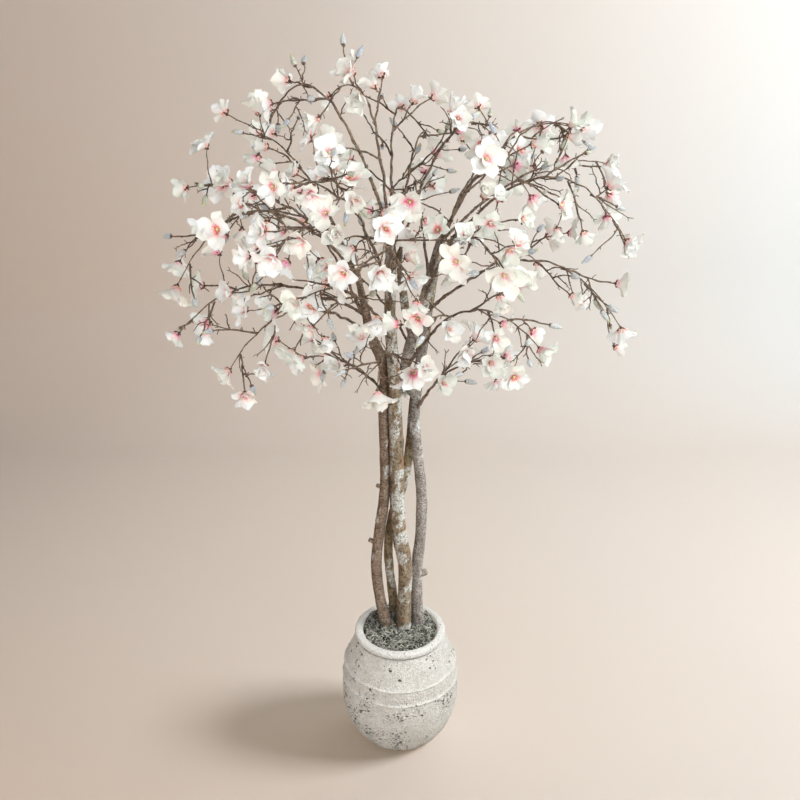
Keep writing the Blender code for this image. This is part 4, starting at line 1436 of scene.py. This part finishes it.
def petal_grid(petals, rows=PETAL_ROWS, columns=PETAL_COLUMNS):
    """Closed shells of petals: points, faces and maps.

    The midrib leans from the angle low to the angle high above the blossom's plane, and
    its points are the sums of cos and sin of that lean. Half width is
    w (.16 (1-u) + sin(pi u**1.4)**1.05). Across it, the petal is an arc of angle cup.
    """
    def column(key):
        """One number of every petal, for all its rows."""
        return petals[key][:, None]

    u, v = np.linspace(0, PETAL_END, rows), np.linspace(-1, 1, columns)
    lean = column("low") + (column("high") - column("low")) * u
    step = column("length") * np.diff(u)
    middle = (lean[:, 1:] + lean[:, :-1]) / 2
    zero = np.zeros((len(lean), 1))
    reach, rise = (np.concatenate([zero, np.cumsum(step * part(middle), 1)], 1)[..., None]
                   for part in (np.cos, np.sin))
    out, axis = column("out"), column("axis")
    side = np.cross(axis, out)
    ridge = column("base") + out * (reach + column("start")[..., None]) + axis * rise
    inward = -np.sin(lean)[..., None] * out + np.cos(lean)[..., None] * axis
    twist = (column("twist") * u)[..., None]
    side, inward = (side * np.cos(twist) + inward * np.sin(twist),
                    inward * np.cos(twist) - side * np.sin(twist))
    half = (column("width") * (.16 * (1 - u) + np.sin(math.pi * u ** 1.4) ** 1.05))[..., None]
    cup = (column("cup") * (1 - .5 * u))[..., None]
    across = half * np.sin(cup * v) / cup
    lift = half * (1 - np.cos(cup * v)) / cup
    wave = np.sin(RUFFLES[0] * u[:, None] + RUFFLES[1] * v + column("phase")[..., None])
    frill = column("ruffle")[..., None] * column("length")[..., None]
    lift += frill * (u[:, None] * np.abs(v)) ** 1.6 * wave
    lift -= RIB_DEPTH * np.exp(-(4 * v) ** 2) * np.sin(math.pi * u)[:, None]
    front = ridge[:, :, None] + side[:, :, None] * across[..., None]
    front = front + inward[:, :, None] * lift[..., None]
    thick = PETAL_THICKNESS * (1 - v[1:-1] ** 2)[:, None] + .0002
    back = front[:, 1:-1, 1:-1] - inward[:, 1:-1, None] * thick
    count = len(lean)
    front_index = np.arange(front.size // 3).reshape(count, rows, columns)
    back_index = front_index.copy()
    back_index[:, 1:-1, 1:-1] = front.size // 3 + np.arange(back.size // 3).reshape(back.shape[:3])
    faces = [np.stack([grid[:, :-1, :-1], grid[:, 1:, :-1], grid[:, 1:, 1:], grid[:, :-1, 1:]], -1)
             for grid in (front_index, back_index)]
    flat = np.stack(np.broadcast_arrays((v + 1) / 2, u[:, None]), -1)
    maps = [np.broadcast_to(part, (count, *part.shape)).reshape(-1, 2)
            for part in (flat, flat[1:-1, 1:-1])]
    points = np.concatenate([front.reshape(-1, 3), back.reshape(-1, 3)])
    faces = [faces[0].reshape(-1, 4), faces[1][..., ::-1].reshape(-1, 4)]
    return points, faces, np.concatenate(maps)


print("a petal has", 2 * (PETAL_ROWS - 1) * (PETAL_COLUMNS - 1), "faces")

# %% Petal colours
PETAL_WHITES = {"white": (238, 239, 236), "cream": (235, 234, 225), "shade": (227, 230, 220)}
PETAL_STAINS = {
    "centre": (230, 226, 178), "coral_deep": (222, 116, 114), "coral": (237, 172, 168),
    "pink_deep": (230, 118, 154), "pink": (241, 176, 197), "blush": (238, 210, 206),
    "faint": (237, 226, 221), "magenta": (216, 100, 146),
}
# From the heart outwards on the face of a petal, and from its foot upwards on its back
DYES = {
    "coral": (("centre", "coral_deep", "coral", "blush", "faint"), ("coral", "blush", "faint")),
    "pink": (("centre", "pink_deep", "pink", "blush", "faint"), ("magenta", "pink", "blush")),
    "pale": (("centre", "pink", "blush", "faint", "cream"), ("pink", "blush", "faint")),
}
FACE_EDGES = (.09, .20, .28, .37, .49)
BACK_EDGES = (.13, .26, .42)
COLUMN_SHIFT = 0.022
FACE_SHIFT = 0.012
SHEER = {"Subsurface Weight": 0.12, "Subsurface Radius": (1.0, 0.9, 0.85),
         "Subsurface Scale": 0.004, "Sheen Weight": 0.15}


def cloth(name, colour):
    """Petal cloth: soft light through it, a little sheen, and fine veins along the petal."""
    material, tree, shader = plain_material(name, srgb(*colour), 0.6)
    for title, value in SHEER.items():
        shader.inputs[title].default_value = value
    place = result(tree, "ShaderNodeUVMap", uv_map="along")
    place = result(tree, "ShaderNodeMapping", {"Vector": place, "Scale": (26, 2.5, 1)})
    veins = result(tree, "ShaderNodeTexNoise", {"Vector": place, "Scale": 1.0, "Detail": 3.0})
    paint(tree, shader, None, raised(tree, veins, .0009))
    return material


PALETTE = {**PETAL_WHITES, **PETAL_STAINS}
petal_finishes = [cloth("petal_" + name, colour) for name, colour in PALETTE.items()]
COLOUR_NUMBER = {name: number for number, name in enumerate(PALETTE)}


def dye(styles, whites, stain, side):
    """A finish number for each face of one side of all petals, from foot to tip.

    A face takes the first band whose edge, times the petal's own stain, lies beyond it. A
    random shift for each column and face makes the edges ragged.
    """
    edges, which = (FACE_EDGES, 0) if side == "face" else (BACK_EDGES, 1)
    count, rows, columns = len(styles), PETAL_ROWS - 1, PETAL_COLUMNS - 1
    u = (np.arange(rows) + .5) / rows * PETAL_END
    shift = detail.normal(0, COLUMN_SHIFT, (count, 1, columns))
    shift = shift + detail.normal(0, FACE_SHIFT, (count, rows, columns))
    place = u[None, :, None] / stain[:, None, None] + shift
    band = (place[..., None] > np.array(edges)).sum(-1)
    bands = np.array([[COLOUR_NUMBER[name] for name in DYES[style][which]] for style in DYES])
    dyed = bands[styles[:, None, None], np.minimum(band, len(edges) - 1)]
    return np.where(band < len(edges), dyed, whites[:, None, None]).reshape(-1)


print(len(petal_finishes), "plain colours of cloth")

# %% The petals of a group
WHITE_SHARES = (.55, .30, .15)
PETAL_SHARES = (.70, .22, .08)
DYE_SHARES = (.42, .33, .25)
INNER_STEEPER = 16
INNER_LENGTH = 0.84


def tips_of(mine, kind):
    """The tips of some masses that end so: their places, axes, sizes if any, and lifts."""
    found = []
    for mass in mine:
        for index, twig in enumerate([*mass.twigs, mass.stem]):
            if twig.tip and twig.tip[0] == kind:
                lift = STEM_BLOOM_LIFT if twig is mass.stem else PETAL_LIFTS[index % 3]
                found.append((twig.points[-1], *twig.tip[1:], lift))
    return [np.array(column) for column in zip(*found)]


def of_all_petals(table):
    """Numbers kept by blossom and petal, as one long column each."""
    return {key: values.reshape(-1, *values.shape[2:]) for key, values in table.items()}


def petal_table(base, axis, size, lift):
    """Every petal's numbers: five outer petals and two steeper, shorter inner ones."""
    number = np.arange(OUTER_PETALS + INNER_PETALS)
    inner = number >= OUTER_PETALS
    turn = 2 * math.pi * np.where(inner, (number + .3) / INNER_PETALS, number / OUTER_PETALS)
    shape, blossoms = (len(base), len(number)), (len(base), 1)
    out = directions_round(axis, turn + detail.normal(0, .13, shape))
    steep = np.radians(lift[:, None] + INNER_STEEPER * inner + detail.normal(0, 6, shape))
    size = size * detail.uniform(.86, 1.20, len(size))
    length = size[:, None] * PETAL_STRETCH * np.where(inner, INNER_LENGTH, 1.0)
    length = length * detail.uniform(.90, 1.08, shape)
    return of_all_petals({
        "out": out, "length": length, "width": length * detail.uniform(.29, .40, shape),
        "low": steep + .50, "high": 1.7 * steep - .62 + detail.normal(0, .22, shape),
        "cup": .5 + .75 * steep, "ruffle": detail.uniform(.07, .16, shape),
        "phase": detail.uniform(0, 6.3, shape), "twist": detail.normal(0, .32, shape),
        "start": np.full(shape, .0022),
        "stain": detail.uniform(.75, 1.15, blossoms) * detail.uniform(.9, 1.1, shape),
        "style": np.repeat(detail.choice(3, blossoms, p=DYE_SHARES), len(number), 1),
        "white": np.maximum(detail.choice(3, blossoms, p=WHITE_SHARES),
                            detail.choice(3, shape, p=PETAL_SHARES)),
        "base": np.repeat(base[:, None], len(number), 1),
        "axis": np.repeat(axis[:, None], len(number), 1),
    })


print(sum(len(tips_of(mine, "bloom")[0]) for mine in GROUP_MASSES.values()), "blossoms to dress")

# %% Stamens, calyx and bracts
STAMENS = 26
STAMEN_RADII = (.0005, .0004, .0008, .0004)
STAMEN_LEAN = (22, 62)
STAMEN_REACH = (.17, .27)
STAMEN_CREAM, STAMEN_TIP, HEART_GREEN = range(3)
# Where a cone starts, its height and its radius, for a blossom of size 1
CONE = (.02, .24, .075)
BRACTS = 3
BRACT_LENGTH = (.008, .013)
# Heights and radii up a calyx
CALYX = ((-.006, .0014), (-.004, .0026), (-.001, .0042), (.002, .0046), (.0038, .0030))
stamen_finishes = [
    plain_material(name, srgb(*colour), .7)[0] for name, colour in (
        ("stamen_cream", (247, 240, 206)), ("stamen_tip", (228, 128, 114)),
        ("heart_green", (226, 226, 164)))]
calyx_finish = twig_material("calyx_brown", (70, 42, 40), (112, 74, 62))


def heart_heap(base, axis, size):
    """A cone with a ring of stamens round it in each blossom, tipped with coral."""
    heap = Heap()
    size = size[:, None]
    s = np.linspace(0, 1, 6)
    foot, height, radius = CONE
    cones = base[:, None] + axis[:, None] * (size * (foot + height * s))[..., None]
    heap.add(*tubes(cones, size * radius * np.sqrt(1.02 - s ** 2), 7), HEART_GREEN)
    shape = (len(base), STAMENS)
    turn = even_angles(STAMENS) + detail.normal(0, .1, shape)
    lean = np.radians(detail.uniform(*STAMEN_LEAN, shape))[..., None]
    out = directions_round(axis, turn)
    way = np.cos(lean) * axis[:, None] + np.sin(lean) * out
    reach = size[..., None] * detail.uniform(*STAMEN_REACH, (*shape, 1))
    start = base[:, None] + out * .05 * size[..., None]
    paths = np.stack([start + way * reach * part for part in (0, .7, 1, 1.12)], 2)
    count = math.prod(shape)
    points, faces = tubes(paths.reshape(-1, 4, 3), np.tile(STAMEN_RADII, (count, 1)), 3)
    looks = np.repeat([STAMEN_CREAM, STAMEN_TIP, STAMEN_TIP], 3)
    heap.add(points, faces, [np.tile(looks, count), STAMEN_CREAM, STAMEN_TIP])
    return heap


def calyx_heap(base, axis):
    """A small dark cup under each blossom, and three short bracts that spread from it."""
    heap = Heap()
    rise, radius = np.array(CALYX).T
    paths = base[:, None] + axis[:, None] * rise[:, None]
    heap.add(*tubes(paths, np.tile(radius, (len(base), 1)), 8))
    shape = (len(base), BRACTS)
    turn = even_angles(BRACTS) + detail.normal(0, .3, shape)
    length = detail.uniform(*BRACT_LENGTH, shape)
    points, faces, _ = petal_grid(of_all_petals({
        "base": np.repeat(base[:, None] - axis[:, None] * .001, BRACTS, 1),
        "axis": np.repeat(axis[:, None], BRACTS, 1), "out": directions_round(axis, turn),
        "length": length, "width": length * .26, "low": np.full(shape, .55),
        "high": detail.normal(.5, .25, shape), "cup": np.full(shape, .9),
        "ruffle": np.full(shape, .02), "phase": turn, "twist": np.zeros(shape),
        "start": np.full(shape, .0034)}), 5, 5)
    heap.add(points, faces)
    return heap


print(STAMENS, "stamens and", BRACTS, "bracts to a blossom")

# %% [markdown]
# ## Buds
# The buds are egg-shaped, bent a little, covered with silver fur and held by a brown
# scale. The fur is short closed spikes that lean towards the tip, in the bud's own colour.

# %% Buds and their fur
BUD_CORNERS = 10
BUD_RINGS = 9
FUR = 42
BUD_LENGTHS = (.026, .040)
BUD_GIRTHS = (.0046, .0064)
BUD_BEND = 0.14
FUR_LENGTHS = (.0025, .0050)
FUR_RADII = (.00045, .00008)
TIP_GREEN, SCALE = 3, 4
BUD_SHARES = (.5, .3, .2)
GREEN_TIP_SHARE = 0.3
BUD_COLOURS = {"silver": (196, 200, 199), "blue": (182, 189, 195), "sage": (188, 192, 172),
               "tip_green": (196, 198, 150), "scale": (104, 78, 62)}


def bud_finish(name, colour):
    """Furry cloth in two close shades."""
    darker = [.82 * channel for channel in colour]
    material = mottled_material("bud_" + name, colour, .9, darker, colour, .004)
    shader = material.node_tree.nodes["Principled BSDF"]
    shader.inputs["Sheen Weight"].default_value = 0.4
    return material


def bud_heap(base, way):
    """Buds as rings along a bent path: r sin(pi s**.8)**.8 above a narrow foot; then fur."""
    count, heap = len(base), Heap()
    s = np.linspace(0, 1, BUD_RINGS)
    length = detail.uniform(*BUD_LENGTHS, (count, 1))
    girth = detail.uniform(*BUD_GIRTHS, (count, 1))
    aside = random_side(way)[:, None]
    paths = base[:, None] + way[:, None] * (length * s)[..., None]
    paths = paths + aside * (length * BUD_BEND * s ** 2)[..., None]
    radii = girth * np.sin(math.pi * np.clip(s ** .8, 0, .97)) ** .8 + .0018 * (1 - s) + .0005
    points, faces = tubes(paths, radii, BUD_CORNERS)
    colour = detail.choice(3, count, p=BUD_SHARES)
    green = detail.random(count) < GREEN_TIP_SHARE
    ring = np.arange(BUD_RINGS - 1)
    looks = np.where((ring > 5) & green[:, None], TIP_GREEN, colour[:, None])
    looks = np.where(ring < 1, SCALE, looks)
    tips = np.where(green, TIP_GREEN, colour)
    heap.add(points, faces, [np.repeat(looks.ravel(), BUD_CORNERS), SCALE, tips])
    k = detail.integers(1, BUD_RINGS - 1, (count, FUR))
    corner = detail.integers(0, BUD_CORNERS, (count, FUR))
    rows = np.arange(count)[:, None]
    root, middle = points[rows, k, corner], paths[rows, k]
    heading = unit(unit(root - middle) * .55 + way[:, None] + .25 * detail.normal(size=root.shape))
    reach = detail.uniform(*FUR_LENGTHS, (count, FUR, 1))
    fur = np.stack([root - heading * .001, root + heading * reach], 2).reshape(-1, 2, 3)
    skin, faces = tubes(fur, np.tile(FUR_RADII, (len(fur), 1)), 3)
    shade = np.repeat(looks[rows, k - 1].ravel(), 3)
    heap.add(skin, faces, [shade, shade[::3], shade[::3]])
    return heap


bud_finishes = [bud_finish(name, colour) for name, colour in BUD_COLOURS.items()]
for group, mine in GROUP_MASSES.items():
    nodes = ["mass_" + mass.name for mass in mine]
    base, axis, size, lift = tips_of(mine, "bloom")
    petals = petal_table(base, axis, size, lift.astype(float))
    points, faces, maps = petal_grid(petals)
    looks = [dye(petals["style"], petals["white"], petals["stain"], side) for side in ("face", "back")]
    heap = Heap()
    heap.add(points, faces, looks, maps)
    piece = new_piece("petals_" + group, heap, petal_finishes, nodes)
    join_set(petals_alone, piece)
    for members in (plant_and_pot, crown_and_pot):
        join_set(members, piece, "EXCLUDE")
    new_piece("hearts_" + group, heart_heap(base, axis, size), stamen_finishes, nodes)
    new_piece("calyces_" + group, calyx_heap(base, axis), [calyx_finish], nodes)
    base, way, _ = tips_of(mine, "bud")
    new_piece("buds_" + group, bud_heap(base, way), bud_finishes, nodes)

# %% [markdown]
# ## The pot
# The pot is cast stoneware: off-white, gritty, with two thin raised bands, a rolled lip and
# many small pores where air was trapped. The body is the profile turned round its
# axis on a fine grid. Each of the pores is a dent pressed into the grid, painted dark inside
# as its shade; that darkness is kept with the points, so painted shade and dent fall together.
# The groove under the lip is painted dark as its shadow, and the bands and the lip are
# painted paler as a highlight.

# %% Pot profile
FOOT_RADIUS = 0.110
POT_FLANK = [(.110, 0), (.119, .007), (.149, .049), (.168, .100), (.1755, .190)]
POT_BANDS = [(.1720, .2235), (.1665, .274)]
POT_SHOULDER = [(.1555, .304), (.1415, .338), (.1300, .3655)]
POT_LIP = [(.1350, .3735), (.1338, .3840), (.1255, .388), (.1165, .388), (.1115, .382)]
POT_INSIDE = [(.110, .358), (.122, .340), (.149, .285), (.161, .190), (.140, .075), (.098, .018)]
BAND_RISE = 0.0054
BAND_WIDTH = 0.0032
BAND_WOBBLE = 0.0020
GROOVE = 0.0030
GROOVE_WIDTH = 0.0024
LIP_GROOVE = 0.3655
POT_GRID = 0.0025
POT_SIDES = 420
PORES = 560
PORE_TRIES = 6 * PORES
PORE_RADIUS = (.0013, .0025)
PORE_DEPTH = 0.0022
PORE_WALL = 0.17
PORE_HEIGHTS = (.01, .365)
LOW_ON_POT = 0.215


def pot_line(rows):
    """A smooth line of radii and heights through the given ones."""
    return smooth_curve(np.insert(np.array(rows), 1, 0, 1), POT_GRID)[:, ::2]


def turned_shape(profile, sides):
    """A profile of radii and heights turned round the Z axis, and closed at both ends."""
    a = even_angles(sides)
    radii, heights = profile[:, 0, None], profile[:, 1, None]
    rings = np.broadcast_arrays(radii * np.cos(a), radii * np.sin(a), heights)
    return np.stack(rings, -1), ring_faces(1, len(profile), sides)


def pore_drift(places):
    """How closely the pores crowd, from 0 to 1: in drifts, and more of them low on the pot."""
    drift = layered(places, (1, .050, 40), (.6, .022, 45))
    return np.clip(np.where(places[..., 2] < LOW_ON_POT, .52, .24) + .45 * drift, 0, 1)


def pore_field(skin, heights):
    """Darkness of the large pores: 1 at the middle of each, falling to 0 at its edge. It sets the
    depth of each dent and the painted shade inside it.
    """
    around = detail.uniform(-math.pi, math.pi, PORE_TRIES)
    height = detail.uniform(*PORE_HEIGHTS, PORE_TRIES)
    places = np.stack([np.cos(around) * PORE_WALL, np.sin(around) * PORE_WALL, height], 1)
    wanted = pore_drift(places) - .25
    keep = np.flatnonzero(detail.random(len(around)) < wanted)[:PORES]
    dark = np.zeros(heights.shape)
    angle = np.arctan2(skin[..., 1], skin[..., 0])
    radii = np.hypot(skin[..., 0], skin[..., 1])
    for k in keep:
        size = detail.uniform(*PORE_RADIUS) * detail.uniform(.6, 1.3)
        rows = np.flatnonzero(np.abs(heights[:, 0] - height[k]) < 2 * size)
        if len(rows):
            turn = np.abs((angle[rows] - around[k] + math.pi) % (2 * math.pi) - math.pi)
            near = turn * radii[rows] / detail.uniform(.8, 1.8)
            away = np.hypot(near, heights[rows] - height[k]) / size
            dark[rows] = np.maximum(dark[rows], step_up(1.5 - away, 0, .9))
    return dark


def pot_heap():
    """The turned body with its bands, grain and pores, closed under the foot and inside."""
    body = pot_line(POT_FLANK + POT_BANDS + POT_SHOULDER)
    lip = pot_line(POT_SHOULDER[-1:] + POT_LIP + POT_INSIDE[:1])
    inside = np.array(POT_INSIDE[1:])
    profile = np.vstack([[(.02, 0), (FOOT_RADIUS * .97, 0)], body, lip[1:], inside, [(.02, .018)]])
    skin, faces = turned_shape(profile, POT_SIDES)
    outer = slice(2, 2 + len(body) + len(lip) - 1)
    outward = np.zeros((len(profile), 1))
    outward[outer] = 1
    heights, away = skin[..., 2].copy(), unit(skin * (1, 1, 0))
    wobble = BAND_WOBBLE * noise(skin * (1, 1, 0), .06, 41)
    band = np.zeros(heights.shape)
    for _, middle in POT_BANDS:
        band += np.exp(-((heights - middle - wobble) / BAND_WIDTH) ** 2)
    band *= .75 + .35 * noise(skin, .018, 42)
    grain = layered(skin, (.0008, .014, 43), (.0010, .0060, 44))
    dark = np.zeros(heights.shape)
    dark[outer] = pore_field(skin[outer], heights[outer])
    drift = pore_drift(skin)
    groove = np.exp(-((heights - LIP_GROOVE) / GROOVE_WIDTH) ** 2)
    push = BAND_RISE * band + grain - PORE_DEPTH * dark - GROOVE * groove
    skin = skin + away * (push * step_up(heights, 0, .008) * outward)[..., None]
    # Painted highlight: the raised bands and the lip are marked to be painted paler
    edge_highlight = np.clip(band * .8 + .7 * step_up(heights, LIP_GROOVE, LIP_GROOVE + .008), 0, 1) * outward
    heap = Heap()
    heap.add(skin, faces)
    # Painted shadow: the groove under the lip is darkened in the same mark as the pores
    dark = np.maximum(dark, .55 * groove * outward)
    return heap, {"pore_and_groove_shade": dark.ravel(), "edge_highlight": edge_highlight.ravel(), "drift": drift.ravel()}


print("pot", 2 * max(radius for radius, _ in POT_FLANK), "m wide,", POT_LIP[2][1], "m tall")

# %% Stoneware finish
stoneware, tree, shader = plain_material("stoneware", srgb(216, 213, 205), 0.92)
sand = spread_out(tree, object_noise(tree, .0030, 4.0), .40, .60)
clay = blend(tree, sand, mottled(tree, (184, 180, 171), (206, 203, 195), .012),
             mottled(tree, (206, 204, 198), (221, 221, 217), .030))
# Painted highlight: the clay turns a paler grey-white where the bands and the lip are marked
clay = blend(tree, mark(tree, "edge_highlight"), clay, mottled(tree, (206, 205, 199), (232, 232, 228), .004))
ends = {"Value": mark(tree, "drift"), 1: .10, 2: 1.0, 3: .06, 4: .40}
reach = result(tree, "ShaderNodeMapRange", ends)
# Painted shade: the marked pores, the smaller spots of pores and the groove under the lip are painted
# dark brown
pores = mark(tree, "pore_and_groove_shade")
for size in (.0105, .0058):
    pores = calculate(tree, "MAXIMUM", pores, use_group(tree, spots, size=size, reach=reach))
rise = calculate(tree, "SUBTRACT", object_noise(tree, .0048, 7.0), pores)
paint(tree, shader, blend(tree, pores, clay, srgb(62, 54, 45)), raised(tree, rise, .0062))
heap, marks = pot_heap()
pot_shade.objects.link(new_piece("pot_body", heap, [stoneware], ["pot"], marks))

cement = mottled_material("cement", (120, 114, 104), 0.95, (100, 94, 86), (140, 134, 124), .012,
                          (.003, .0015))
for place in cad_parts["pot_fill"].material_slots:
    place.material = cement

# %% [markdown]
# ## Moss and lichen
# Dried moss hides the cement: fine curly strands in greys and grey-greens over a lumpy bed.
# The bed and some of the strands are near black: painted shade for the deep gaps between
# them. A strand is a thin tube along a path that turns at random and is held down near the
# bed. Tufts of wiry lichen are made in the same way over a ball.

# %% Moss
MOSS_RADIUS = 0.1125
MOSS_STRANDS = 2500
MOSS_RINGS = 36
MOSS_SIDES = 110
MOSS_HOLE = 0.004
MOSS_EDGE = 0.002
# Shares of the pale, grey, green and dark strands; the dark ones are painted shade of the gaps
MOSS_SHARES = (.26, .28, .16, .30)
MOSS_LENGTHS = (.018, .040)
MOSS_CURL = 0.42
MOSS_SPRING = (.001, .0075)
STRAND_RINGS = 8
STRAND_RADIUS = 0.00062
STRAND_TIP = 0.6
GAP_SHADE_STRAND, GREEN_STRAND = 3, 2
# The dark shade is painted shade: a near-black colour for the gaps among the strands
STRAND_COLOURS = {"pale": (216, 215, 200), "grey": (150, 151, 144), "green": (110, 108, 90),
                  "dark": (26, 24, 21)}


def wiry_paths(starts, ways, length, curl):
    """Paths of equal steps. The heading turns by a random push that keeps its sense."""
    push = detail.normal(size=starts.shape) * curl
    paths, heading = [starts], ways
    for _ in range(STRAND_RINGS - 1):
        push = .7 * push + .5 * curl * detail.normal(size=starts.shape)
        heading = unit(heading + push)
        paths.append(paths[-1] + heading * length / (STRAND_RINGS - 1))
    return np.stack(paths, 1)


def add_strands(heap, paths, radius, shares):
    """Thin tubes along the paths, each in one of the four shades, dealt out by these shares."""
    taper = radius * np.linspace(1, STRAND_TIP, STRAND_RINGS)
    thick = taper * detail.uniform(.7, 1.3, (len(paths), 1))
    shade = detail.choice(4, len(paths), p=shares)
    points, faces = tubes(paths, thick, 3)
    heap.add(points, faces, [np.repeat(shade, 3 * (STRAND_RINGS - 1)), shade, shade])


def moss_height(x, y):
    """The moss bed's surface: lumps, level with the lip in front and heaped up behind."""
    place = np.stack(np.broadcast_arrays(x, y, 0.0), -1)
    lumps = layered(place, (.0035, .022, 50), (.0015, .009, 51))
    sides = .009 * step_up(y, .02, .10) - .004 * step_up(np.hypot(x, y), .100, MOSS_RADIUS)
    return MOSS_TOP + .009 + lumps + sides


def moss_bed():
    """A disc of fine rings under the strands, closed by a flat underside."""
    radii = np.concatenate([np.linspace(MOSS_HOLE, MOSS_RADIUS, MOSS_RINGS),
                            np.linspace(MOSS_RADIUS, MOSS_HOLE, 3)[1:]])
    a = even_angles(MOSS_SIDES)
    x, y = radii[:, None] * np.cos(a), radii[:, None] * np.sin(a)
    z = moss_height(x, y)
    z[-2:] = MOSS_TOP - .020
    return np.stack([x, y, z], -1), ring_faces(1, len(radii), MOSS_SIDES)


def moss_paths():
    """Curly paths from all over the bed, held down near it and inside the lip."""
    away = MOSS_RADIUS * np.sqrt(detail.random(MOSS_STRANDS)) * .98
    turn = detail.uniform(0, 2 * math.pi, MOSS_STRANDS)
    x, y = away * np.cos(turn), away * np.sin(turn)
    starts = np.stack([x, y, moss_height(x, y)], 1)
    ways = unit(detail.normal(size=starts.shape) * (1, 1, .5))
    paths = wiry_paths(starts, ways, detail.uniform(*MOSS_LENGTHS, (MOSS_STRANDS, 1)), MOSS_CURL)
    bed = moss_height(paths[..., 0], paths[..., 1])
    arch = np.sin(np.linspace(.1, 3.0, STRAND_RINGS))
    spring = detail.uniform(*MOSS_SPRING, (MOSS_STRANDS, 1)) * arch
    paths[..., 2] = bed + spring + .3 * np.clip(paths[..., 2] - bed, -.004, .006)
    inside = (MOSS_RADIUS - MOSS_EDGE) / np.hypot(paths[..., 0], paths[..., 1])
    paths[..., :2] *= np.minimum(1, inside)[..., None]
    return paths


strand_finishes = [plain_material("strand_" + name, srgb(*colour), .95)[0]
                   for name, colour in STRAND_COLOURS.items()]
heap = Heap()
# The bed is painted near black, as the shade under and between the strands
heap.add(*moss_bed(), GAP_SHADE_STRAND)
add_strands(heap, moss_paths(), STRAND_RADIUS, MOSS_SHARES)
new_piece("moss_strands", heap, strand_finishes, ["moss_bed"])

# %% Lichen tufts
# Of each: its middle, its reach each way, and the shares of the four shades, the last of which is
# near-black painted shade
TUFTS = {"top_lichen": ((-.045, -.004, 1.682), (.027, .023, .042), (.40, .42, .08, .10)),
         "fork_lichen": ((.012, .010, 1.205), (.019, .019, .029), (.30, .40, .14, .16))}
TUFT_STRANDS = 620
TUFT_RADIUS = 0.00055
TUFT_LENGTHS = (.012, .026)
TUFT_CURL = 0.55
CORE_RINGS = 10
CORE_SIDES = 14

for name, (middle, size, shares) in TUFTS.items():
    ways = unit(detail.normal(size=(TUFT_STRANDS, 3)))
    starts = np.array(middle) + ways * size * detail.uniform(.35, .85, (TUFT_STRANDS, 1))
    paths = wiry_paths(starts, ways, detail.uniform(*TUFT_LENGTHS, (TUFT_STRANDS, 1)), TUFT_CURL)
    heap = Heap()
    add_strands(heap, paths, TUFT_RADIUS, shares)
    s = np.linspace(-1, 1, CORE_RINGS)
    core = np.array(middle) + np.outer(s * size[2] * .7, UP)
    rough = .62 * size[0] * np.sqrt(1.01 - s ** 2)[:, None]
    rough = rough * detail.uniform(.85, 1.15, (CORE_RINGS, CORE_SIDES))
    heap.add(*tubes(core[None], rough[None], CORE_SIDES), GREEN_STRAND)
    new_piece(name + "_strands", heap, strand_finishes, [name])
